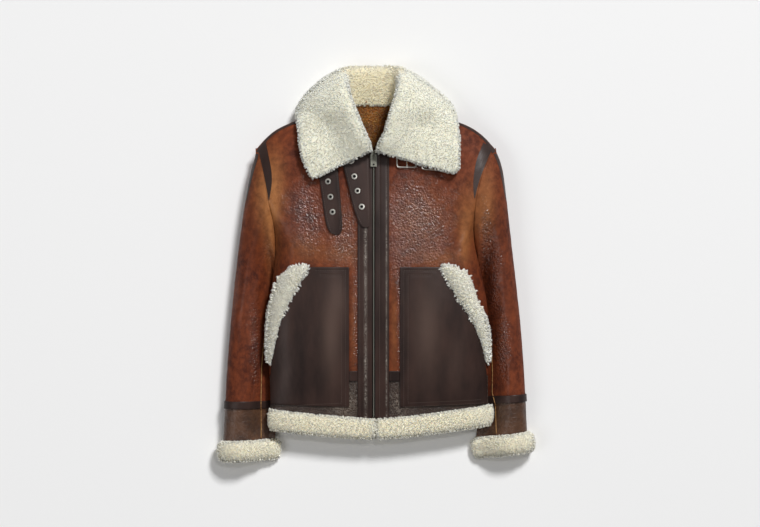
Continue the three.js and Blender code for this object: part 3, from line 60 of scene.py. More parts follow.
def add_node(tree, kind, sockets=None, **settings):
    """A node with its settings, values and links. A node as a value is linked by its first live output."""
    node = tree.nodes.new(kind)
    for name, value in settings.items():
        setattr(node, name, value)
    for name, value in (sockets or {}).items():
        if isinstance(value, bpy.types.Node):
            value = next(output for output in value.outputs if output.enabled)
        if isinstance(value, bpy.types.NodeSocket):
            tree.links.new(value, node.inputs[name])
        else:
            node.inputs[name].default_value = value
    return node


def new_material(name):
    """An empty node material and its tree."""
    material = bpy.data.materials.new(name)
    material.use_nodes = True
    material.node_tree.nodes.clear()
    return material, material.node_tree


def finish_material(tree, shader):
    add_node(tree, "ShaderNodeOutputMaterial", {"Surface": shader})


def per_metre(size_mm):
    """A texture's scale for features of this size."""
    return 1 / (size_mm * MM)


def object_from(name, form):
    """A new object from a bmesh."""
    mesh = bpy.data.meshes.new(name)
    form.to_mesh(mesh)
    form.free()
    piece = bpy.data.objects.new(name, mesh)
    bpy.context.scene.collection.objects.link(piece)
    return piece


def painted_floor():
    material, tree = new_material("painted floor")
    place = add_node(tree, "ShaderNodeTexCoord")
    roller = add_node(
        tree,
        "ShaderNodeTexNoise",
        {"Vector": place.outputs["Object"], "Scale": per_metre(6), "Detail": 2.0},
    )
    relief = add_node(tree, "ShaderNodeBump", {"Height": roller, "Strength": 0.1, "Distance": 0.05 * MM})
    paint = add_node(
        tree,
        "ShaderNodeBsdfPrincipled",
        {"Base Color": to_linear(FLOOR_COLOUR), "Roughness": 0.95, "Normal": relief},
    )
    paint.inputs["Specular IOR Level"].default_value = 0.1
    finish_material(tree, paint)
    return material


form = bmesh.new()
bmesh.ops.create_grid(form, x_segments=8, y_segments=8, size=FLOOR_HALF)
floor = object_from("floor", form)
floor.data.materials.append(painted_floor())

LAMPS = (
    {"name": "key", "at": (5.1, 9.0, 10.6), "size": 2.9, "power": 1900.0},
    {"name": "fill", "at": (-3.6, -1.2, 4.4), "size": 2.6, "power": 55.0},
    {"name": "glint", "at": (0.9, 0.9, 4.6), "size": 0.35, "power": 22.0},
)
for lamp in LAMPS:
    light = bpy.data.lights.new(lamp["name"], "AREA")
    light.size = lamp["size"]
    light.energy = lamp["power"]
    holder = bpy.data.objects.new(lamp["name"], light)
    holder.location = lamp["at"]
    holder.rotation_euler = (-Vector(lamp["at"])).to_track_quat("-Z", "Y").to_euler()
    bpy.context.scene.collection.objects.link(holder)

WORLD_LIGHT = 0.16
world = bpy.data.worlds.new("studio")
world.use_nodes = True
world.node_tree.nodes["Background"].inputs["Color"].default_value = to_linear("#ffffff")
world.node_tree.nodes["Background"].inputs["Strength"].default_value = WORLD_LIGHT
bpy.context.scene.world = world
bpy.context.scene.view_settings.view_transform = "Standard"

view = bpy.data.cameras.new("camera")
view.sensor_width = 36.0
view.lens = view.sensor_width * CAMERA_HEIGHT / FRAME_WIDTH
camera = bpy.data.objects.new("camera", view)
camera.location = (*CAMERA_OVER, CAMERA_HEIGHT)
bpy.context.scene.collection.objects.link(camera)
bpy.context.scene.camera = camera

# The two fronts: glossy sheepskin with the wool inside, crinkled all over the chest and smoother at the
# shoulders. Each is one hide cut from shoulder to waist, tanned, dyed brown and burnished by hand.
WELD = 0.01 * MM
SHARP_TURN = math.radians(50)
EDGE_HOLD = 0.8  # how much of a sharp edge the rounding leaves
PAIR_FOLD = math.radians(60)  # the most that two triangles made one quad may fold
PAIR_SHAPE = math.radians(180)
FLOOR_CLEAR = 0.2 * MM


def cloth_from(node, levels):
    """A rounded, even copy of a packed panel, with its loose triangles merged and paired into quads."""
    form = bmesh.new()
    form.from_mesh(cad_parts[node].data)
    bmesh.ops.remove_doubles(form, verts=form.verts, dist=WELD)
    bmesh.ops.join_triangles(
        form,
        faces=form.faces,
        angle_face_threshold=PAIR_FOLD,
        angle_shape_threshold=PAIR_SHAPE,
    )
    hold = form.edges.layers.float.new("crease_edge")
    for edge in form.edges:
        if edge.is_manifold and edge.calc_face_angle() > SHARP_TURN:
            edge[hold] = EDGE_HOLD
    for face in form.faces:
        face.smooth = True
    piece = object_from(f"{node}_cloth", form)
    rounding = piece.modifiers.new("rounding", "SUBSURF")
    rounding.levels = rounding.render_levels = levels
    settled = piece.evaluated_get(bpy.context.evaluated_depsgraph_get())
    mesh = bpy.data.meshes.new_from_object(settled)
    piece.modifiers.clear()
    piece.data = mesh
    return piece


def move_points(piece, new_place):
    """Moves each point to new_place(point, normal), never under the floor."""
    mesh = piece.data
    normals = [vertex.normal.copy() for vertex in mesh.vertices]
    for vertex, normal in zip(mesh.vertices, normals):
        vertex.co = new_place(vertex.co, normal)
        vertex.co.z = max(vertex.co.z, FLOOR_CLEAR)
    mesh.update()


# Soft folds of the body: x, y, turn in degrees, half length, half width and height, in mm and degrees.
BODY_FOLDS = (
    (-138, 96, 98, 62, 13, 0.9),
    (-112, 52, 82, 58, 11, 0.8),
    (-158, 30, 76, 60, 10, 0.9),
    (-72, -2, 60, 26, 9, 0.6),
    (-170, 142, 60, 44, 12, 0.8),
    (60, 96, 118, 52, 12, 0.8),
    (98, 70, 70, 58, 12, 0.8),
    (132, 104, 58, 60, 14, 0.9),
    (170, 56, 88, 50, 7, 2.6),
    (150, 150, 46, 44, 12, 0.9),
    (-100, -130, 88, 90, 26, 1.3),
    (-150, -190, 96, 60, 22, 1.2),
    (104, -120, 92, 90, 24, 1.3),
    (150, -200, 84, 64, 22, 1.2),
    (-38, -110, 90, 110, 5, 0.5),
    (36, -60, 90, 90, 5, 0.5),
)
SLEEVE_FOLDS = (
    (-206, 96, 72, 60, 7, 2.4),
    (-226, 40, 78, 70, 9, 1.8),
    (-214, -20, 84, 70, 8, 1.6),
    (-250, -60, 82, 80, 10, 1.4),
    (-228, -150, 60, 24, 5, 1.2),
    (-236, -182, 66, 26, 5, 1.3),
    (-230, -214, 74, 26, 5, 1.2),
    (-242, -120, 58, 22, 5, 1.0),
    (209, 44, 96, 58, 6, 3.6),
    (228, 66, 84, 70, 8, 1.6),
    (222, -10, 98, 60, 8, 1.8),
    (246, -70, 96, 80, 10, 1.4),
    (236, -160, 118, 26, 5, 1.3),
    (250, -196, 112, 26, 5, 1.2),
    (240, -132, 122, 24, 5, 1.0),
    (-240, -300, 90, 40, 9, 0.8),
    (248, -290, 90, 40, 9, 0.8),
)


def fold_height(folds, x, y):
    """Height in metres that the folds add at a place in metres."""
    height = 0.0
    for fold_x, fold_y, turn, half_long, half_wide, rise in folds:
        along_x, along_y = math.cos(math.radians(turn)), math.sin(math.radians(turn))
        from_x, from_y = x / MM - fold_x, y / MM - fold_y
        along = (from_x * along_x + from_y * along_y) / half_long
        across = (from_y * along_x - from_x * along_y + 6 * math.sin(2.2 * along)) / half_wide
        if abs(along) < 2.2 and abs(across) < 4:
            ridge = math.exp(-across * across) - 0.5 * math.exp(-((across - 1.7) ** 2))
            height += rise * ridge * math.exp(-along * along)
    return height * MM


def fade(start, end, at):
    share = min(max((at - start) / (end - start), 0.0), 1.0)
    return share * share * (3 - 2 * share)


def wrinkle(piece, folds, low, high, ripple=0.25, ripple_size=16):
    """Lifts a piece by the folds, in full where it is higher than high, and adds a shallow ripple, in mm."""

    def place(point, normal):
        share = fade(low, high, point.z / MM)
        lifted = point + Vector((0, 0, fold_height(folds, point.x, point.y) * share))
        broad = noise.noise(point * per_metre(ripple_size))
        fine = noise.noise(point * per_metre(ripple_size * 0.4))
        return lifted + normal * (ripple * MM * (broad + 0.5 * fine))

    move_points(piece, place)


# Spots of a finish: x, y, half width, half height and amount, in mm.
CRINKLED = (
    (-128, 78, 26, 52, 1.0),
    (-62, 50, 24, 60, 0.9),
    (-38, -100, 5, 110, 0.8),
    (-150, 120, 40, 40, 0.25),
    (60, 108, 36, 40, 0.9),
    (96, 60, 40, 52, 1.1),
    (48, 20, 22, 60, 0.8),
    (44, -110, 4, 110, 1.0),
    (208, 40, 9, 60, 1.4),
    (226, 10, 14, 34, 0.7),
    (221, -60, 10, 40, 0.9),
    (238, -150, 14, 60, 0.9),
    (-204, 20, 10, 24, 0.7),
    (-228, -160, 10, 84, 1.2),
    (-250, -60, 30, 60, 0.15),
)
TANNED = (
    (82, 78, 50, 60, 0.34),
    (-62, 50, 26, 50, 0.2),
    (-42, -120, 6, 90, 0.3),
    (34, -120, 6, 90, 0.35),
    (-204, 130, 22, 62, 1.0),
    (-196, 60, 12, 70, 0.8),
    (-130, 30, 34, 26, 0.35),
    (-186, 150, 16, 60, 0.45),
    (176, 90, 22, 50, 0.6),
    (206, 120, 16, 60, 0.7),
    (166, 40, 9, 34, 0.7),
    (-60, 16, 50, 16, 0.25),
    (120, 10, 50, 16, 0.3),
    (-240, -330, 60, 40, 0.2),
)


def paint_spots(piece, name, spots):
    """Keeps how much of a finish each point has as an attribute of the piece."""
    mesh = piece.data
    layer = mesh.attributes.new(name, "FLOAT", "POINT")
    for vertex, value in zip(mesh.vertices, layer.data):
        x, y = vertex.co.x / MM, vertex.co.y / MM
        amount = sum(
            much * math.exp(-(((x - at_x) / wide) ** 2) - ((y - at_y) / tall) ** 2)
            for at_x, at_y, wide, tall, much in spots
            if abs(x - at_x) < 3 * wide and abs(y - at_y) < 3 * tall
        )
        value.value = min(amount, 1.2)


def burnished_sheepskin():
    """Finished sheepskin: glossy, crinkled by hand, and rubbed to tan where it is worn, with painted shade in
    the crinkles' hollows.
    """
    material, tree = new_material("burnished brown sheepskin")
    place = add_node(tree, "ShaderNodeTexCoord").outputs["Object"]
    crinkled = add_node(tree, "ShaderNodeAttribute", attribute_name="crinkled").outputs["Fac"]
    tanned = add_node(tree, "ShaderNodeAttribute", attribute_name="tanned").outputs["Fac"]
    clouds = add_node(
        tree,
        "ShaderNodeTexNoise",
        {"Vector": place, "Scale": per_metre(55), "Detail": 4.0, "Roughness": 0.6},
    )
    streaks_place = add_node(tree, "ShaderNodeMapping", {"Vector": place, "Scale": (1.0, 0.75, 1.0)})
    streaks = add_node(
        tree,
        "ShaderNodeTexNoise",
        {"Vector": streaks_place, "Scale": per_metre(10), "Detail": 5.0, "Roughness": 0.7},
    )
    bent = add_node(
        tree,
        "ShaderNodeTexNoise",
        {"Vector": place, "Scale": per_metre(9), "Detail": 2.0, "Roughness": 0.5},
    )
    bent_by = add_node(
        tree, "ShaderNodeVectorMath", {0: bent.outputs["Color"], "Scale": 5 * MM}, operation="SCALE"
    )
    bent_place = add_node(tree, "ShaderNodeVectorMath", {0: place, 1: bent_by})
    cells = add_node(
        tree,
        "ShaderNodeTexVoronoi",
        {"Vector": bent_place, "Scale": per_metre(4.4), "Smoothness": 0.15},
        feature="SMOOTH_F1",
    )
    pores = add_node(
        tree,
        "ShaderNodeTexNoise",
        {"Vector": place, "Scale": per_metre(3.0), "Detail": 4.0, "Roughness": 0.7},
    )
    patch = add_node(tree, "ShaderNodeMapRange", {"Value": clouds, "From Min": 0.34, "From Max": 0.66})
    deep_to_mid = add_node(
        tree,
        "ShaderNodeMix",
        {0: patch, 6: to_linear("#421a0e"), 7: to_linear("#652f18")},
        data_type="RGBA",
    )
    streak = add_node(
        tree, "ShaderNodeMapRange", {"Value": streaks, "From Min": 0.42, "From Max": 0.75, "To Max": 0.55}
    )
    streaked = add_node(
        tree, "ShaderNodeMix", {0: streak, 6: deep_to_mid, 7: to_linear("#934724")}, data_type="RGBA"
    )
    rub_and_sheen = add_node(
        tree,
        "ShaderNodeMapRange",
        {"Value": streaks, "From Min": 0.35, "From Max": 0.7, "To Min": 0.5, "To Max": 1.0},
    )
    tan_share = add_node(tree, "ShaderNodeMath", {0: rub_and_sheen, 1: tanned}, operation="MULTIPLY")
    tan = add_node(
        tree, "ShaderNodeMix", {0: tan_share, 6: streaked, 7: to_linear("#a56c3e")}, data_type="RGBA"
    )
    # Painted shade: the crinkle's hollows are darkened, as far as the piece is crinkled.
    hollow_shade = add_node(
        tree, "ShaderNodeMapRange", {"Value": cells, "From Min": 0.3, "From Max": 0.8, "To Max": 0.25}
    )
    hollow_shade_share = add_node(tree, "ShaderNodeMath", {0: hollow_shade, 1: crinkled}, operation="MULTIPLY")
    coloured = add_node(
        tree, "ShaderNodeMix", {0: hollow_shade_share, 6: tan, 7: to_linear("#4c1c0f")}, data_type="RGBA"
    )
    depth = add_node(tree, "ShaderNodeMapRange", {"Value": crinkled, "To Min": 0.06, "To Max": 1.0})
    raised = add_node(tree, "ShaderNodeMath", {0: 1.0, 1: cells}, operation="SUBTRACT")
    crinkle = add_node(tree, "ShaderNodeBump", {"Height": raised, "Strength": depth, "Distance": 2.3 * MM})
    grain = add_node(
        tree,
        "ShaderNodeBump",
        {
            "Height": pores,
            "Strength": depth,
            "Distance": 1.6 * MM,
            "Normal": crinkle,
        },
    )
    glaze = add_node(tree, "ShaderNodeMapRange", {"Value": crinkled, "To Max": 0.85})
    polish = add_node(
        tree,
        "ShaderNodeMapRange",
        {"Value": streaks, "From Min": 0.3, "From Max": 0.7, "To Min": 0.76, "To Max": 0.6},
    )
    leather = add_node(
        tree,
        "ShaderNodeBsdfPrincipled",
        {
            "Base Color": coloured,
            "Roughness": polish,
            "Normal": grain,
            "Coat Weight": glaze,
            "Coat Roughness": 0.1,
            "Coat IOR": 1.8,
            "Coat Normal": grain,
        },
    )
    leather.inputs["Specular IOR Level"].default_value = 0.2
    finish_material(tree, leather)
    return material


BROWN = burnished_sheepskin()


def dress(piece, material, node, body="jacket"):
    """Gives a piece its material and its body, and hides the CAD node that it stands for."""
    piece.data.materials.clear()
    piece.data.materials.append(material)
    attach(piece, body)
    if node:
        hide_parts(node)


fronts = {}
for side in ("right", "left"):
    front = cloth_from(f"front_{side}", 3)
    wrinkle(front, BODY_FOLDS, low=32, high=52, ripple=0.3, ripple_size=18)
    paint_spots(front, "crinkled", CRINKLED)
    paint_spots(front, "tanned", TANNED)
    dress(front, BROWN, f"front_{side}")
    fronts[side] = front

# The back: one plain hide from the shoulders to the waist, lying flat on the surface and rolling up
# to the side seams. It is the same burnished sheepskin as the fronts.
back = cloth_from("back", 2)
wrinkle(back, BODY_FOLDS, low=70, high=90, ripple=0.3, ripple_size=20)
paint_spots(back, "crinkled", CRINKLED)
paint_spots(back, "tanned", TANNED)
dress(back, BROWN, "back")

# The sleeves: a tube of the same hide each, sewn along its inner side with the cut edge turned out,
# which shows as a raised golden line from the elbow down.
sleeves = {}
for side in ("right", "left"):
    sleeve = cloth_from(f"sleeve_{side}", 3)
    wrinkle(sleeve, SLEEVE_FOLDS, low=22, high=40, ripple=0.35, ripple_size=14)
    paint_spots(sleeve, "crinkled", CRINKLED)
    paint_spots(sleeve, "tanned", TANNED)
    dress(sleeve, BROWN, f"sleeve_{side}")
    sleeves[side] = sleeve


# The bands at the hem and the wrists: darker hide whose thick finish has cracked into a fine web,
# which catches the light. The body's band is in three pieces and each wrist's is a short tube.
def crackled_hide(name, deep, mid, worn, web, web_mm):
    """Hide with a thick dyed finish, broken up by a web of fine raised cracks."""
    material, tree = new_material(name)
    place = add_node(tree, "ShaderNodeTexCoord").outputs["Object"]
    clouds = add_node(
        tree,
        "ShaderNodeTexNoise",
        {"Vector": place, "Scale": per_metre(32), "Detail": 4.0, "Roughness": 0.6},
    )
    bent = add_node(
        tree,
        "ShaderNodeTexNoise",
        {"Vector": place, "Scale": per_metre(8), "Detail": 3.0, "Roughness": 0.6},
    )
    bent_by = add_node(
        tree, "ShaderNodeVectorMath", {0: bent.outputs["Color"], "Scale": 6 * MM}, operation="SCALE"
    )
    bent_place = add_node(tree, "ShaderNodeVectorMath", {0: place, 1: bent_by})
    cracks = add_node(
        tree,
        "ShaderNodeTexVoronoi",
        {"Vector": bent_place, "Scale": per_metre(web_mm)},
        feature="DISTANCE_TO_EDGE",
    )
    line = add_node(
        tree, "ShaderNodeMapRange", {"Value": cracks, "From Max": 0.16, "To Min": 1.0, "To Max": 0.0}
    )
    patch = add_node(tree, "ShaderNodeMapRange", {"Value": clouds, "From Min": 0.35, "From Max": 0.65})
    base = add_node(
        tree, "ShaderNodeMix", {0: patch, 6: to_linear(deep), 7: to_linear(mid)}, data_type="RGBA"
    )
    cracked = add_node(tree, "ShaderNodeAttribute", attribute_name="cracked").outputs["Fac"]
    much = add_node(tree, "ShaderNodeMapRange", {"Value": cracked, "To Min": web * 0.12, "To Max": web})
    wear = add_node(tree, "ShaderNodeMath", {0: line, 1: much}, operation="MULTIPLY")
    worn_share = add_node(tree, "ShaderNodeMath", {0: wear, 1: bent}, operation="MULTIPLY")
    coloured = add_node(
        tree, "ShaderNodeMix", {0: worn_share, 6: base, 7: to_linear(worn)}, data_type="RGBA"
    )
    raised = add_node(
        tree, "ShaderNodeBump", {"Height": line, "Strength": min(0.2 + web, 1.0), "Distance": 0.5 * MM}
    )
    grain = add_node(
        tree,
        "ShaderNodeTexNoise",
        {"Vector": place, "Scale": per_metre(2.2), "Detail": 3.0, "Roughness": 0.6},
    )
    fine = add_node(
        tree, "ShaderNodeBump", {"Height": grain, "Strength": 0.4, "Distance": 0.25 * MM, "Normal": raised}
    )
    leather = add_node(
        tree,
        "ShaderNodeBsdfPrincipled",
        {"Base Color": coloured, "Roughness": 0.4, "IOR": 1.5, "Normal": fine},
    )
    finish_material(tree, leather)
    return material


# Where the finish has cracked the most, beside the plackets.
CRACKED = ((-64, -260, 24, 26, 1.0), (-14, -250, 6, 44, 0.5), (44, -262, 14, 26, 0.6), (8, -250, 6, 44, 0.4))
HEM_HIDE = crackled_hide("crackled hem hide", "#281b17", "#3d2d26", "#c9b8a4", 1.0, 3.4)
WRIST_HIDE = crackled_hide("crackled wrist hide", "#3a261b", "#573a28", "#7a5840", 0.35, 8)
HEM_BANDS = {
    "hem_band_right": {"cut": (0.20, 0.085), "area": 0.0155},
    "hem_band_left": {"cut": (0.22, 0.085), "area": 0.0160},
    "hem_band_back": {"cut": (0.42, 0.085), "area": 0.034},
}
for node, band in HEM_BANDS.items():
    piece = cloth_from(node, 3)
    wrinkle(piece, BODY_FOLDS, low=32, high=48, ripple=0.3, ripple_size=12)
    paint_spots(piece, "cracked", CRACKED)
    dress(piece, HEM_HIDE, node)
wrists = {}
for side in ("right", "left"):
    wrist = cloth_from(f"cuff_band_{side}", 3)
    wrinkle(wrist, SLEEVE_FOLDS, low=20, high=38, ripple=0.4, ripple_size=14)
    dress(wrist, WRIST_HIDE, f"cuff_band_{side}")
    wrists[side] = wrist


# Smooth dark hide, laid over the panels and sewn down: two patch pockets, the plackets beside the zip,
# the tapes over the seams and the two collar straps.
def smooth_dark_hide():
    """Aniline-dyed calf, rolled smooth, with a painted sheen, paler where it rises."""
    material, tree = new_material("smooth dark calf")
    place = add_node(tree, "ShaderNodeTexCoord").outputs["Object"]
    drawn = add_node(tree, "ShaderNodeMapping", {"Vector": place, "Scale": (1.0, 0.3, 1.0)})
    clouds = add_node(
        tree,
        "ShaderNodeTexNoise",
        {"Vector": drawn, "Scale": per_metre(38), "Detail": 4.0, "Roughness": 0.55},
    )
    pores = add_node(
        tree,
        "ShaderNodeTexNoise",
        {"Vector": place, "Scale": per_metre(1.8), "Detail": 3.0, "Roughness": 0.65},
    )
    patch = add_node(tree, "ShaderNodeMapRange", {"Value": clouds, "From Min": 0.35, "From Max": 0.68})
    coloured = add_node(
        tree,
        "ShaderNodeMix",
        {0: patch, 6: to_linear("#231714"), 7: to_linear("#3d2c27")},
        data_type="RGBA",
    )
    # Painted sheen: a paler colour on the pockets where they rise, given by spots.
    rub_and_sheen = add_node(tree, "ShaderNodeAttribute", attribute_name="painted_sheen").outputs["Fac"]
    painted_sheen = add_node(
        tree, "ShaderNodeMix", {0: rub_and_sheen, 6: coloured, 7: to_linear("#5a473f")}, data_type="RGBA"
    )
    worn = add_node(tree, "ShaderNodeAttribute", attribute_name="worn").outputs["Fac"]
    specks = add_node(tree, "ShaderNodeMapRange", {"Value": pores, "From Min": 0.45, "From Max": 0.62})
    worn_share = add_node(tree, "ShaderNodeMath", {0: specks, 1: worn}, operation="MULTIPLY")
    edged = add_node(
        tree, "ShaderNodeMix", {0: worn_share, 6: painted_sheen, 7: to_linear("#b0a79c")}, data_type="RGBA"
    )
    grain = add_node(tree, "ShaderNodeBump", {"Height": pores, "Strength": 0.35, "Distance": 0.15 * MM})
    polish = add_node(
        tree,
        "ShaderNodeMapRange",
        {"Value": clouds, "From Min": 0.35, "From Max": 0.7, "To Min": 0.5, "To Max": 0.36},
    )
    leather = add_node(
        tree, "ShaderNodeBsdfPrincipled", {"Base Color": edged, "Roughness": polish, "Normal": grain}
    )
    leather.inputs["Specular IOR Level"].default_value = 0.25
    finish_material(tree, leather)
    return material


DARK = smooth_dark_hide()
OVERLAYS = {
    "pocket_right": {"cut": (0.15, 0.265), "area": 0.0338, "levels": 3},
    "pocket_left": {"cut": (0.165, 0.265), "area": 0.0360, "levels": 3},
    "placket_right": {"cut": (0.028, 0.50), "area": 0.0135, "levels": 3},
    "placket_left": {"cut": (0.027, 0.50), "area": 0.0130, "levels": 3},
    "waist_tape_right": {"cut": (0.016, 0.020), "area": 0.0003, "levels": 2},
    "waist_tape_left": {"cut": (0.020, 0.020), "area": 0.0004, "levels": 2},
    "waist_tape_back": {"cut": (0.40, 0.020), "area": 0.0079, "levels": 2},
    "cuff_tape_right": {"cut": (0.24, 0.018), "area": 0.0039, "levels": 2},
    "cuff_tape_left": {"cut": (0.22, 0.018), "area": 0.0037, "levels": 2},
    "strap_outer": {"cut": (0.035, 0.155), "area": 0.0053, "levels": 2},
    "strap_inner": {"cut": (0.038, 0.145), "area": 0.0054, "levels": 2},
}
# Lines that the machine has pulled down into the hide: the pockets' double row, and the plackets' rows.
POCKET_RIGHT_ROWS = (
    ((-104, -21), (-65, -21), (-65, -262), (-196, -269)),
    ((-112, -13), (-57, -13), (-57, -269), (-190, -275)),
)
POCKET_LEFT_ROWS = (
    ((103, -21), (60, -21), (60, -262), (196, -256)),
    ((112, -13), (52, -13), (52, -269), (204, -262)),
)
PLACKET_RIGHT_ROWS = (((-30.5, 200), (-30.5, -286)), ((-17.0, 200), (-17.0, -288)))
PLACKET_LEFT_ROWS = (((20.6, 200), (20.6, -288)), ((6.5, 200), (6.5, -288)))
SEWN_ROWS = (*POCKET_RIGHT_ROWS, *POCKET_LEFT_ROWS, *PLACKET_RIGHT_ROWS, *PLACKET_LEFT_ROWS)
ROW_HALF = 1.6
ROW_DEPTH = 0.5


def off_line(line, x, y):
    """Distance in mm from a place to a line of points."""
    best = 1e9
    for (ax, ay), (bx, by) in zip(line, line[1:]):
        long_x, long_y = bx - ax, by - ay
        share = ((x - ax) * long_x + (y - ay) * long_y) / (long_x**2 + long_y**2)
        share = min(max(share, 0.0), 1.0)
        best = min(best, math.hypot(x - ax - share * long_x, y - ay - share * long_y))
    return best


def pull_down_rows(piece, rows):
    """Presses shallow grooves along the sewn rows into the upper side of a piece."""

    def place(point, normal):
        if normal.z < 0.3:
            return point
        x, y = point.x / MM, point.y / MM
        pressed = sum(math.exp(-((off_line(row, x, y) / ROW_HALF) ** 2)) for row in rows)
        return point - Vector((0, 0, min(pressed, 1.0) * ROW_DEPTH * MM))

    move_points(piece, place)


# Spots of painted sheen, paler where the pockets rise, and each placket's worn line as its x and half width.
PAINTED_SHEEN_SPOTS = (
    (-84, -130, 18, 80, 0.8),
    (-70, -60, 14, 40, 0.4),
    (96, -120, 24, 85, 0.75),
    (150, -190, 18, 50, 0.25),
)
WORN_FROM = 200
WORN_FULL = 60
WORN_PATCH = 22
PLACKET_WORN = {"placket_right": (-19.6, 2.4), "placket_left": (19.6, 1.3)}


def paint_worn(piece, at_x, wide):
    """Wear along the raised edge of a placket, from the chest down."""
    layer = piece.data.attributes.new("worn", "FLOAT", "POINT")
    for vertex, value in zip(piece.data.vertices, layer.data):
        x, y = vertex.co.x / MM, vertex.co.y / MM
        patchy = 0.7 + 0.9 * noise.noise(Vector((0, y / WORN_PATCH, 3)))
        value.value = max(math.exp(-(((x - at_x) / wide) ** 2)) * patchy * fade(WORN_FROM, WORN_FULL, y), 0.0)


overlays = {}
for node, facts in OVERLAYS.items():
    piece = cloth_from(node, facts["levels"])
    if node.startswith("cuff"):
        wrinkle(piece, SLEEVE_FOLDS, low=22, high=40, ripple=0.12, ripple_size=18)
    else:
        wrinkle(piece, BODY_FOLDS, low=32, high=52, ripple=0.12, ripple_size=18)
    if node.startswith(("pocket", "placket")):
        pull_down_rows(piece, SEWN_ROWS)
    if node.startswith("pocket"):
        # Painted sheen on the pockets, paler where they rise.
        paint_spots(piece, "painted_sheen", PAINTED_SHEEN_SPOTS)
    if node in PLACKET_WORN:
        paint_worn(piece, *PLACKET_WORN[node])
    dress(piece, DARK, node)
    overlays[node] = piece


# The tapes over the shoulder, armhole and outer sleeve seams: thin dark hide cut to a taper, wide at the
# armhole and narrow elsewhere. Each lies between two lines, given in mm from its one end to the other.
TAPES = {
    "shoulder_tape_right": {
        "outer": ((-146, 271), (-160, 265.8), (-180, 257.6), (-200, 243.8), (-210, 234.3), (-226.5, 212)),
        "inner": ((-146, 266.5), (-160, 261.5), (-180, 252.8), (-200, 239), (-207, 230.5), (-220, 208)),
        "on": "all",
        "cut": (0.090, 0.012),
        "area": 0.0007,
    },
    "shoulder_tape_left": {
        "outer": ((150, 269.2), (160, 265.2), (180, 256.2), (200, 242.2), (210, 232.7), (226.5, 212)),
        "inner": ((150, 264.7), (160, 260.8), (180, 251.4), (200, 237.3), (206, 229.3), (219.5, 208)),
        "on": "all",
        "cut": (0.085, 0.012),
        "area": 0.00065,
    },
    "armhole_tape_right": {
        "outer": ((-222, 219), (-218.5, 200), (-212.2, 175), (-206, 145), (-201.5, 119)),
        "inner": ((-208, 230), (-201.5, 200), (-196, 175), (-195, 150), (-200.5, 119)),
        "on": "both",
        "cut": (0.110, 0.018),
        "area": 0.0016,
    },
    "armhole_tape_left": {
        "outer": ((220.5, 219), (209.8, 197), (195.6, 162), (189, 140), (185.2, 123)),
        "inner": ((202, 228), (188.2, 195), (182.2, 160), (182.2, 140), (184.2, 123)),
        "on": "both",
        "cut": (0.110, 0.018),
        "area": 0.0016,
    },
    "sleeve_tape_right": {
        "outer": ((-227.4, 207), (-230.2, 195), (-234.6, 180), (-238.8, 160), (-242.8, 140), (-246.4, 120)),
        "inner": ((-221.4, 207), (-223.5, 195), (-228.6, 180), (-234, 160), (-239.4, 140), (-244.6, 120)),
        "on": "sleeve",
        "cut": (0.098, 0.012),
        "area": 0.00105,
    },
    "sleeve_tape_left": {
        "outer": ((228.6, 207), (233.6, 195), (238.6, 180), (241.3, 160), (243.9, 140), (246.4, 120)),
        "inner": ((221.4, 207), (227, 195), (232.6, 180), (236.6, 160), (240.4, 140), (244.6, 120)),
        "on": "sleeve",
        "cut": (0.098, 0.012),
        "area": 0.00105,
    },
}
TAPE_ROWS = 28
TAPE_COLUMNS = 5
TAPE_THICK = 0.9
TAPE_RISE = 0.5
INWARD_STEP = 0.8  # how a place just off the outline is looked for farther in
INWARD_STEPS = 10
LOOK_FROM = 0.5  # metres above the floor


def top_finder(pieces):
    """A function that gives the highest point of these pieces over a place in mm, or None."""
    trees = []
    for piece in pieces:
        form = bmesh.new()
        form.from_mesh(piece.data)
        trees.append(BVHTree.FromBMesh(form))
        form.free()

    def top(x, y):
        hits = [tree.ray_cast(Vector((x * MM, y * MM, LOOK_FROM)), Vector((0, 0, -1))) for tree in trees]
        found = [(hit[0], hit[1]) for hit in hits if hit[0] is not None]
        return max(found, key=lambda pair: pair[0].z) if found else None

    return top


def walk(line, step):
    """Points every step mm along a line, each with its heading."""
    at, left = [], 0.0
    for (ax, ay), (bx, by) in zip(line, line[1:]):
        long = math.hypot(bx - ax, by - ay)
        heading = math.atan2(by - ay, bx - ax)
        while left <= long:
            at.append((ax + (bx - ax) * left / long, ay + (by - ay) * left / long, heading))
            left += step
        left -= long
    return at


def spread(line, count):
    """Evenly spaced places along a line, softened at its corners."""
    long = sum(math.dist(start, end) for start, end in zip(line, line[1:]))
    places = [Vector((x, y)) for x, y, heading in walk(line, long / (count - 0.99))]
    for _ in range(8):
        places[1:-1] = [
            (before + at * 2 + after) / 4 for before, at, after in zip(places, places[1:], places[2:])
        ]
    return places


def laid_band(name, outer, inner, under):
    """A thin band of hide between two lines, laid on what is under it."""
    top = top_finder(under)
    outer, inner = spread(outer, TAPE_ROWS), spread(inner, TAPE_ROWS)
    form = bmesh.new()
    bmesh.ops.create_grid(form, x_segments=TAPE_COLUMNS, y_segments=TAPE_ROWS - 1, size=1.0)
    for vertex in form.verts:
        row = round((vertex.co.y + 1) / 2 * (TAPE_ROWS - 1))
        x, y = outer[row].lerp(inner[row], (vertex.co.x + 1) / 2)
        inward = [top(x - math.copysign(step * INWARD_STEP, x), y) for step in range(INWARD_STEPS)]
        hit = next(hit for hit in inward if hit)
        vertex.co = hit[0] + Vector((0, 0, TAPE_RISE * MM))
    bmesh.ops.recalc_face_normals(form, faces=form.faces)
    if sum(face.normal.z for face in form.faces) < 0:
        bmesh.ops.reverse_faces(form, faces=form.faces)
    bmesh.ops.solidify(form, geom=form.faces[:], thickness=TAPE_THICK * MM)
    return object_from(name, form)


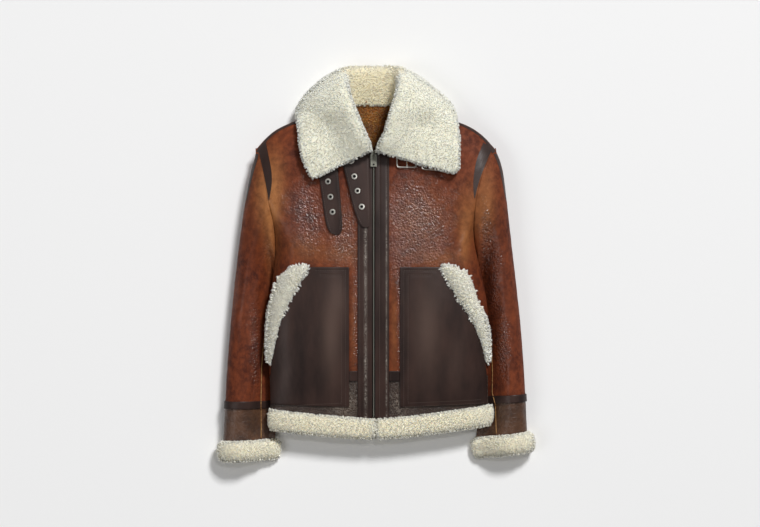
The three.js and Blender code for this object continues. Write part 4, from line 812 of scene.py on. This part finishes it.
for side in ("right", "left"):
    under = {"sleeve": [sleeves[side]], "both": [fronts[side], sleeves[side]]}
    under["all"] = [*under["both"], back]
    for node in (f"shoulder_tape_{side}", f"armhole_tape_{side}", f"sleeve_tape_{side}"):
        facts = TAPES[node]
        tape = laid_band(f"{node}_cloth", facts["outer"], facts["inner"], under[facts["on"]])
        dress(tape, DARK, node)
        overlays[node] = tape


# The raw edge of each sleeve's inner seam: a narrow turned-out strip of undyed hide, from the elbow
# over the wrist band to the cuff.
SEAM_EDGES = {
    "right": ((-208.5, -118), (-210.8, -134), (-216.2, -192), (-217.6, -256), (-217.4, -334)),
    "left": ((214.5, -130), (217.8, -150), (220.2, -206), (219.6, -244), (225.6, -268), (227.0, -322)),
}
SEAM_EDGE_HALF = 0.9
SEAM_EDGE_STEP = 3.0


def rounded_strip(name, centres, half_wide, half_high):
    """A closed strip with an oval section, extruded along its centres."""
    form = bmesh.new()
    rings = []
    for i, centre in enumerate(centres):
        after, before = centres[min(i + 1, len(centres) - 1)], centres[max(i - 1, 0)]
        turn = (after - before).to_track_quat("X", "Z").to_matrix().to_4x4()
        shape = Matrix.Translation(centre) @ turn @ Matrix.Diagonal((1, half_wide, half_high, 1))
        ring = bmesh.ops.create_circle(
            form, segments=8, radius=1.0, matrix=shape @ Matrix.Rotation(math.pi / 2, 4, "Y")
        )
        rings.append(ring["verts"])
    for ring, following in zip(rings, rings[1:]):
        joined = {*ring, *following}
        rims = [edge for edge in form.edges if len(edge.link_faces) < 2 and joined.issuperset(edge.verts)]
        bmesh.ops.bridge_loops(form, edges=rims)
    bmesh.ops.contextual_create(form, geom=rings[0])
    bmesh.ops.contextual_create(form, geom=rings[-1])
    bmesh.ops.recalc_face_normals(form, faces=form.faces)
    for face in form.faces:
        face.smooth = True
    return object_from(name, form)


def raw_edge_leather():
    """Undyed edge of vegetable-tanned hide: pale golden tan and fibrous, with no gloss."""
    material, tree = new_material("raw golden hide edge")
    place = add_node(tree, "ShaderNodeTexCoord").outputs["Object"]
    mottle = add_node(
        tree,
        "ShaderNodeTexNoise",
        {"Vector": place, "Scale": per_metre(5), "Detail": 4.0, "Roughness": 0.7},
    )
    shade = add_node(tree, "ShaderNodeMapRange", {"Value": mottle, "From Min": 0.35, "From Max": 0.65})
    coloured = add_node(
        tree,
        "ShaderNodeMix",
        {0: shade, 6: to_linear("#6e4524"), 7: to_linear("#a8804c")},
        data_type="RGBA",
    )
    fuzz = add_node(tree, "ShaderNodeBump", {"Height": mottle, "Strength": 0.5, "Distance": 0.3 * MM})
    hide = add_node(
        tree, "ShaderNodeBsdfPrincipled", {"Base Color": coloured, "Roughness": 0.75, "Normal": fuzz}
    )
    finish_material(tree, hide)
    return material


RAW_EDGE = raw_edge_leather()
for side, line in SEAM_EDGES.items():
    top = top_finder([sleeves[side], wrists[side], overlays[f"cuff_tape_{side}"]])
    centres = []
    for x, y, heading in walk(line, SEAM_EDGE_STEP):
        hit = top(x, y)
        if hit:
            centres.append(hit[0] + Vector((0, 0, 0.1 * MM)))
    edge = rounded_strip(f"seam_edge_{side}", centres, SEAM_EDGE_HALF * MM, 0.9 * MM)
    dress(edge, RAW_EDGE, None)

# Shearling: the wool side of the same skins, shorn short and combed, on the collar, the hem and cuff
# rolls and the pocket facings. Each is a soft thick form covered with small locks of wool.
LOCK_LONG = 1.7
LOCK_WIDE = 1.15
EDGE_LOCKS = 2.3  # how much longer the locks are where a pile turns down at its edge
EDGE_TURN = 0.4
LOCK_SIZES = (0.75, 1.2)
PLACES_SEED = 11


def shorn_wool(name, shade, mid, light, aged="#ede3c2"):
    """Shorn, combed lambswool: matt and full of tiny shadows, with warmth from within."""
    material, tree = new_material(name)
    place = add_node(tree, "ShaderNodeTexCoord").outputs["Object"]
    drifts = add_node(
        tree,
        "ShaderNodeTexNoise",
        {"Vector": place, "Scale": per_metre(28), "Detail": 4.0, "Roughness": 0.6},
    )
    curls = add_node(
        tree,
        "ShaderNodeTexNoise",
        {"Vector": place, "Scale": per_metre(2.6), "Detail": 3.0, "Roughness": 0.7},
    )
    drift = add_node(tree, "ShaderNodeMapRange", {"Value": drifts, "From Min": 0.35, "From Max": 0.65})
    base = add_node(
        tree, "ShaderNodeMix", {0: drift, 6: to_linear(mid), 7: to_linear(light)}, data_type="RGBA"
    )
    # Painted shade: the hollows between the curls are mixed towards the shade colour.
    hollow_shade = add_node(
        tree, "ShaderNodeMapRange", {"Value": curls, "From Min": 0.5, "From Max": 0.3, "To Max": 0.06}
    )
    coloured = add_node(tree, "ShaderNodeMix", {0: hollow_shade, 6: base, 7: to_linear(shade)}, data_type="RGBA")
    yellowed = add_node(tree, "ShaderNodeAttribute", attribute_name="yellowed").outputs["Fac"]
    coloured = add_node(
        tree, "ShaderNodeMix", {0: yellowed, 6: coloured, 7: to_linear(aged)}, data_type="RGBA"
    )
    curl = add_node(tree, "ShaderNodeBump", {"Height": curls, "Strength": 0.2, "Distance": 0.4 * MM})
    wool = add_node(
        tree,
        "ShaderNodeBsdfPrincipled",
        {
            "Base Color": coloured,
            "Roughness": 1.0,
            "Subsurface Weight": 0.7,
            "Subsurface Radius": (1.0, 0.9, 0.75),
            "Subsurface Scale": 9 * MM,
            "Sheen Weight": 0.35,
            "Sheen Roughness": 0.6,
            "Normal": curl,
        },
    )
    wool.inputs["Specular IOR Level"].default_value = 0.1
    finish_material(tree, wool)
    return material


def lock_of_wool(long, wide):
    """One small bent lock: a thin cone of three sides with its tip curled over."""
    form = bmesh.new()
    bmesh.ops.create_cone(
        form,
        cap_ends=False,
        segments=3,
        radius1=wide,
        radius2=wide * 0.75,
        depth=long,
        matrix=Matrix.Identity(4),
    )
    bmesh.ops.translate(form, verts=form.verts, vec=(0, 0, long * 0.25))
    rim = [edge for edge in form.edges if edge.is_boundary and all(v.co.z > 0.5 * long for v in edge.verts)]
    top = bmesh.ops.extrude_edge_only(form, edges=rim)
    tip = [item for item in top["geom"] if isinstance(item, bmesh.types.BMVert)]
    bmesh.ops.translate(form, verts=tip, vec=(wide * 0.7, 0, long * 0.3))
    bmesh.ops.pointmerge(form, verts=tip, merge_co=sum((v.co for v in tip), Vector()) / len(tip))
    for face in form.faces:
        face.smooth = True
    mesh = bpy.data.meshes.new("lock")
    form.to_mesh(mesh)
    form.free()
    return mesh


def sow_locks(piece, gap, long, wide, lean, seed, keep=lambda point, normal: True):
    """Small locks of wool rooted all over a piece, a gap apart, each leaning its own way."""
    rolls = random.Random(seed)
    ground = bmesh.new()
    ground.from_mesh(piece.data)
    bmesh.ops.triangulate(ground, faces=ground.faces)
    lock = lock_of_wool(long * MM, wide * MM)
    pile = bmesh.new()
    for face in ground.faces:
        for _ in range(int(face.calc_area() / (gap * MM) ** 2 + rolls.random())):
            first, second = rolls.random(), rolls.random()
            if first + second > 1:
                first, second = 1 - first, 1 - second
            a, b, c = (vertex.co for vertex in face.verts)
            point = a + (b - a) * first + (c - a) * second
            if not keep(point, face.normal):
                continue
            sway = Vector([rolls.gauss(0, lean) for _ in range(3)])
            leaning = (face.normal + sway).normalized()
            turn = leaning.to_track_quat("Z", "Y").to_matrix().to_4x4()
            spin = Matrix.Rotation(rolls.uniform(0, math.tau), 4, "Z")
            edge = EDGE_LOCKS if abs(face.normal.z) < EDGE_TURN else 1.0
            size = Matrix.Scale(rolls.uniform(*LOCK_SIZES) * edge, 4)
            placing = Matrix.Translation(point) @ turn @ spin @ size
            lock.transform(placing)
            pile.from_mesh(lock)
            lock.transform(placing.inverted())
    for vertex in pile.verts:
        vertex.co.z = max(vertex.co.z, FLOOR_CLEAR)
    ground.free()
    bpy.data.meshes.remove(lock)
    return object_from(f"{piece.name}_pile", pile)


def ruffle(piece, amount, size, inset=0.0):
    """The soft unevenness of a shorn pile, set in by the length of the locks that stand on it, in mm."""

    def place(point, normal):
        wave = noise.noise(point * per_metre(size)) + 0.6 * noise.noise(point * per_metre(size * 0.45))
        return point + normal * ((amount * wave - inset) * MM)

    move_points(piece, place)


def is_seen(point, normal):
    """Leaves out what lies against the floor, the fronts or the back."""
    return normal.z > -0.5


def is_clear_of_pull(point, normal):
    """Leaves out also the few locks at the wings' tips that the zip pull would brush when it is lifted."""
    x, y, z = point / MM
    return is_seen(point, normal) and not (abs(x - PULL_MIDDLE) < PULL_ROOM and y < PULL_TOP)


CREAM = shorn_wool("shorn cream shearling", "#d5ceb4", "#e6e3cf", "#efedda")
# A lighter copy of the same wool, as painted light that offsets the shade among the locks of the rolls and
# pocket facings.
PAINTED_LIGHT_WOOL = shorn_wool("long pale shearling", "#e9e2c6", "#faf4de", "#fefae8")
# Each pile's fill, the gap between its locks in mm, how yellowed it is, and where its locks differ.
ROLL = {"fill": 0.3, "gap": 2.3, "yellowed": 0.6}
FACING = {"fill": 0.2, "gap": 1.9, "yellowed": 0.1, "lock": 2.6, "inset": 0.3, "lean": 0.45}
FLEECES = {
    "collar": {"fill": 0.2, "gap": 2.7},
    "hem_fur_right": ROLL,
    "hem_fur_left": ROLL,
    "hem_fur_back": {**ROLL, "gap": 3.2},
    "cuff_fur_right": ROLL,
    "cuff_fur_left": ROLL,
    "pocket_fur_right": FACING,
    "pocket_fur_left": FACING,
}
FLEECE_LEVELS = 2
LOCK_LEAN = 0.35
PILE_INSET = 1.1
PULL_MIDDLE = -4.5
PULL_ROOM = 8.5
PULL_TOP = 210.0
NECK_DROP = 8.0
NECK_PART = 3.0
ZIP_MIDDLE = -4.0
WING_CORNER = (150.0, 177.0)
CORNER_SIZE = 15.0
CORNER_OUT = 8.0
CORNER_DOWN = 5.0
WING_OUT = 3.0
HEM_MIDDLE = -305.0
HEM_HALF = 24.0
HEM_OUT = 5.0
NOTCH = 1.2
NOTCH_ROUND = 4.5
NOTCH_REACH = 7.0


def settle_collar(point, normal):
    """The collar's two wings settle down and apart at the zip, and the left one's corner reaches out."""
    x, y, z = point / MM
    off_zip = abs(x - ZIP_MIDDLE)
    side = math.copysign(1, x - ZIP_MIDDLE)
    raised = fade(40, 80, z)
    near = fade(70, 14, off_zip) * fade(300, 232, y) * raised
    apart = side * fade(60, 12, off_zip) * fade(206, 226, y) * fade(320, 262, y) * raised
    corner = math.exp(-((math.dist((x, y), WING_CORNER) / CORNER_SIZE) ** 2))
    wide = fade(120, 150, x) * fade(290, 230, y)
    out = apart * NECK_PART + corner * CORNER_OUT + wide * WING_OUT
    down = near * NECK_DROP + corner * CORNER_DOWN
    return point + Vector((out, -down, 0)) * MM


def part_hem(point, normal):
    """The hem rolls: a notch parts them below the zip, and the left one's outer end reaches out."""
    x, y, z = point / MM
    off_middle = min(abs(y - HEM_MIDDLE) / HEM_HALF, 1.0)
    back_off = (NOTCH + NOTCH_ROUND * off_middle**3) * math.exp(-((x / NOTCH_REACH) ** 2))
    out = HEM_OUT * fade(190, 220, x)
    return point + Vector((math.copysign(back_off, x) + out, 0, 0)) * MM


def paint_yellowed(piece, even):
    """How far the wool has yellowed: evenly, or, on the collar, over its stand inside the neck."""
    layer = piece.data.attributes.new("yellowed", "FLOAT", "POINT")
    for vertex, value in zip(piece.data.vertices, layer.data):
        x, y, z = vertex.co / MM
        value.value = even or fade(64, 56, abs(x + 6)) * fade(286, 296, y) * fade(62, 46, z)


for number, (node, facts) in enumerate(FLEECES.items()):
    piece = cloth_from(node, FLEECE_LEVELS)
    if node == "collar":
        move_points(piece, settle_collar)
    if node in ("hem_fur_right", "hem_fur_left"):
        move_points(piece, part_hem)
    paint_yellowed(piece, facts.get("yellowed"))
    ruffle(piece, amount=0.3, size=9, inset=facts.get("inset", PILE_INSET))
    if node.startswith("pocket"):
        wrinkle(piece, BODY_FOLDS, low=32, high=52, ripple=0.1)
    # The collar has the cream wool; the rolls and facings have the copy lightened as painted light.
    wool = CREAM if node == "collar" else PAINTED_LIGHT_WOOL
    dress(piece, wool, node)
    pile = sow_locks(
        piece,
        facts["gap"],
        facts.get("lock", LOCK_LONG),
        LOCK_WIDE,
        facts.get("lean", LOCK_LEAN),
        PLACES_SEED + number,
        keep=is_clear_of_pull if node == "collar" else is_seen,
    )
    paint_yellowed(pile, facts.get("yellowed"))
    dress(pile, wool, None)

# The lining of the back's neck: the same wool, dyed golden brown, seen inside the collar.
GOLDEN = shorn_wool("golden brown pile", "#3a1c06", "#7a4412", "#a8641c")
lining = cloth_from("back_lining", 3)
LINING_FROM = 250 * MM
LINING_REACH = 1.5  # the lining goes on up under the collar's seam


def under_collar(point, normal):
    return point + Vector((0, max(point.y - LINING_FROM, 0) * (LINING_REACH - 1), 0))


move_points(lining, under_collar)
ruffle(lining, amount=0.7, size=7)
dress(lining, GOLDEN, "back_lining")
lining_pile = sow_locks(lining, gap=2.0, long=3.2, wide=1.0, lean=0.5, seed=71)
dress(lining_pile, GOLDEN, None)


# The metal: a nickel zip with its slider and pull, seven eyelets and two buckles, all die-cast or
# stamped, then plated. The buckles are the brightest, the zip has aged to a dull grey.
def plated_metal(name, colour, dark, rough, wear_mm):
    """Nickel plate over die-cast zinc: bright, a little uneven, dulled where it is handled."""
    material, tree = new_material(name)
    place = add_node(tree, "ShaderNodeTexCoord").outputs["Object"]
    cloud = add_node(
        tree,
        "ShaderNodeTexNoise",
        {"Vector": place, "Scale": per_metre(wear_mm), "Detail": 4.0, "Roughness": 0.6},
    )
    coloured = add_node(
        tree, "ShaderNodeMix", {0: cloud, 6: to_linear(colour), 7: to_linear(dark)}, data_type="RGBA"
    )
    polish = add_node(
        tree, "ShaderNodeMapRange", {"Value": cloud, "To Min": rough * 0.7, "To Max": rough * 1.3}
    )
    marks = add_node(tree, "ShaderNodeBump", {"Height": cloud, "Strength": 0.15, "Distance": 0.1 * MM})
    metal = add_node(
        tree,
        "ShaderNodeBsdfPrincipled",
        {
            "Base Color": coloured,
            "Metallic": 1.0,
            "Roughness": polish,
            "Normal": marks,
        },
    )
    finish_material(tree, metal)
    return material


BUCKLE_NICKEL = plated_metal("bright buckle nickel", "#fffdf6", "#dedad0", 0.34, 3)
EYELET_NICKEL = plated_metal("satin eyelet nickel", "#dcdad2", "#a5a299", 0.36, 2)
ZIP_NICKEL = plated_metal("aged zip nickel", "#8c8c82", "#57574f", 0.38, 2)
TEETH_NICKEL = plated_metal("brushed tooth nickel", "#bdbab0", "#8d8a80", 0.55, 2)
ZIP_BLACK = plated_metal("blackened zip chain", "#33332f", "#191917", 0.5, 2)


def painted_hole_shadow():
    """Near-black painted shadow for the inside of a hole, a little mottled."""
    material, tree = new_material("blackened strap core")
    place = add_node(tree, "ShaderNodeTexCoord").outputs["Object"]
    mottle = add_node(tree, "ShaderNodeTexNoise", {"Vector": place, "Scale": per_metre(1.5), "Detail": 2.0})
    shade = add_node(
        tree,
        "ShaderNodeMix",
        {0: mottle, 6: to_linear("#060505"), 7: to_linear("#120d0c")},
        data_type="RGBA",
    )
    painted_shadow = add_node(tree, "ShaderNodeBsdfPrincipled", {"Base Color": shade, "Roughness": 0.9})
    finish_material(tree, painted_shadow)
    return material


# Painted shadow: a near-black material for the discs in the eyelets' holes.
HOLE_SHADOW = painted_hole_shadow()


def plate(node, material):
    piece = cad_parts[node]
    piece.data.materials.clear()
    piece.data.materials.append(material)


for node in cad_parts:
    if "eyelet" in node:
        plate(node, EYELET_NICKEL)
    elif node.startswith(("buckle_frame", "buckle_prong")):
        plate(node, BUCKLE_NICKEL)
    elif node.startswith("zip_"):
        plate(node, ZIP_BLACK if node == "zip_chain" else ZIP_NICKEL)

# Painted shadow in each eyelet: a near-black disc in the hole, where the strap's hole is in shade.
EYELETS = {
    "inner": ((-46.8, 191.9, 70.6), (-40.6, 163.3, 73.9), (-34.5, 136.1, 76.1), (-26.8, 106.5, 78.3)),
    "outer": ((-89.9, 154.0, 71.2), (-85.3, 125.1, 73.3), (-81.5, 96.7, 75.1)),
}
EYELET_HOLE = 3.6
for strap, places in EYELETS.items():
    hole_shadows = bmesh.new()
    for place in places:
        middle = Matrix.Translation(Vector(place) * MM)
        bmesh.ops.create_cone(
            hole_shadows,
            cap_ends=True,
            segments=20,
            radius1=EYELET_HOLE * MM,
            radius2=EYELET_HOLE * MM,
            depth=0.6 * MM,
            matrix=middle,
        )
    dress(object_from(f"strap_{strap}_holes", hole_shadows), HOLE_SHADOW, None)

# The leather tabs that hold the buckles: a strip of the brown hide each, folded round the bar, with a
# slot for the prong, and sewn down to the front.
for node in ("buckle_tab_1", "buckle_tab_2"):
    tab = cloth_from(node, 2)
    paint_spots(tab, "crinkled", CRINKLED)
    dress(tab, BROWN, node)

# The zip's teeth: two rows of small stamped teeth, meshed along the middle, drawn at twice the real
# spacing of 1.5 mm so that they show.
TOOTH_PITCH = 3.0
TOOTH_LONG = 1.3
TOOTH_WIDE = 1.4
TOOTH_HIGH = 0.9
TOOTH_SIDE = 0.4
ZIP_LINE = ((-4.45, 196), (-4.45, -289))
zip_top = top_finder([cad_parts["zip_chain"]])
tooth_form = bmesh.new()
bmesh.ops.create_cube(tooth_form, size=1.0)
bmesh.ops.scale(tooth_form, vec=(TOOTH_LONG * MM, TOOTH_WIDE * MM, TOOTH_HIGH * MM), verts=tooth_form.verts)
bmesh.ops.bevel(
    tooth_form,
    geom=[edge for edge in tooth_form.edges if all(vert.co.z > 0 for vert in edge.verts)],
    offset=0.3 * MM,
    segments=1,
    profile=0.5,
    affect="EDGES",
    material=-1,
)
tooth = bpy.data.meshes.new("tooth")
tooth_form.to_mesh(tooth)
tooth_form.free()
teeth_form = bmesh.new()
for number, (x, y, heading) in enumerate(walk(ZIP_LINE, TOOTH_PITCH / 2)):
    hit = zip_top(x, y)
    if hit:
        side = TOOTH_SIDE if number % 2 else -TOOTH_SIDE
        placing = Matrix.Translation(hit[0] + Vector((side * MM, 0, 0.1 * MM)))
        tooth.transform(placing)
        teeth_form.from_mesh(tooth)
        tooth.transform(placing.inverted())
teeth = object_from("zip_teeth", teeth_form)
dress(teeth, TEETH_NICKEL, None)

# Sewing: waxed brown thread, lockstitched at four stitches to the centimetre, along the grooves of the
# pockets and plackets, round the straps and beside the seams. Drawn a little coarser than the real one.
STITCH_LONG = 3.0
STITCH_GAP = 1.2
STITCH_HALF = 0.42


def waxed_thread(name, colour):
    """Waxed polyester thread: two plies twisted, with a low sheen."""
    material, tree = new_material(name)
    place = add_node(tree, "ShaderNodeTexCoord").outputs["Object"]
    plies = add_node(tree, "ShaderNodeTexNoise", {"Vector": place, "Scale": per_metre(1.0), "Detail": 2.0})
    shade = add_node(
        tree, "ShaderNodeMix", {0: plies, 6: to_linear(colour), 7: to_linear("#1c1412")}, data_type="RGBA"
    )
    twist = add_node(tree, "ShaderNodeBump", {"Height": plies, "Strength": 0.4, "Distance": 0.1 * MM})
    thread = add_node(
        tree, "ShaderNodeBsdfPrincipled", {"Base Color": shade, "Roughness": 0.5, "Normal": twist}
    )
    finish_material(tree, thread)
    return material


THREAD = waxed_thread("waxed brown thread", "#7a675c")
STRAP_OUTER_ROWS = (
    ((-107.5, 200), (-101.3, 150), (-95.8, 110), (-90.5, 80), (-85.5, 63)),
    ((-76, 195), (-72, 150), (-69, 110), (-66.8, 80), (-67.5, 63)),
)
STRAP_INNER_ROWS = (
    ((-61.8, 196), (-49.8, 150), (-40.4, 110), (-31.8, 84), (-26, 74)),
    ((-17, 204), (-15.8, 150), (-14.8, 110), (-14.2, 76)),
)
SEWING = {
    "pocket_right_sewing": (POCKET_RIGHT_ROWS, ["pocket_right"]),
    "pocket_left_sewing": (POCKET_LEFT_ROWS, ["pocket_left"]),
    "strap_outer_sewing": (STRAP_OUTER_ROWS, ["strap_outer"]),
    "strap_inner_sewing": (STRAP_INNER_ROWS, ["strap_inner"]),
    "placket_sewing": (PLACKET_RIGHT_ROWS + PLACKET_LEFT_ROWS, ["placket_right", "placket_left"]),
}


def sew(name, rows, pieces):
    """Stitches along rows of places, lying on the upper side of the pieces."""
    stitch_form = bmesh.new()
    bmesh.ops.create_icosphere(stitch_form, subdivisions=1, radius=1.0)
    half = Vector((STITCH_LONG / 2, STITCH_HALF, STITCH_HALF)) * MM
    bmesh.ops.scale(stitch_form, vec=half, verts=stitch_form.verts)
    for face in stitch_form.faces:
        face.smooth = True
    stitch = bpy.data.meshes.new("stitch")
    stitch_form.to_mesh(stitch)
    stitch_form.free()
    top = top_finder(pieces)
    seam = bmesh.new()
    for row in rows:
        for x, y, heading in walk(row, STITCH_LONG + STITCH_GAP):
            hit = top(x, y)
            if hit and hit[1].z > 0.4:
                ahead = Vector((math.cos(heading), math.sin(heading), 0))
                across = hit[1].cross(ahead).normalized()
                ahead = across.cross(hit[1]).normalized()
                turn = Matrix((ahead, across, hit[1])).transposed().to_4x4()
                placing = Matrix.Translation(hit[0] + hit[1] * 0.15 * MM) @ turn
                stitch.transform(placing)
                seam.from_mesh(stitch)
                stitch.transform(placing.inverted())
    dress(object_from(name, seam), THREAD, None)


for name, (rows, nodes) in SEWING.items():
    sew(name, rows, [overlays[node] for node in nodes])
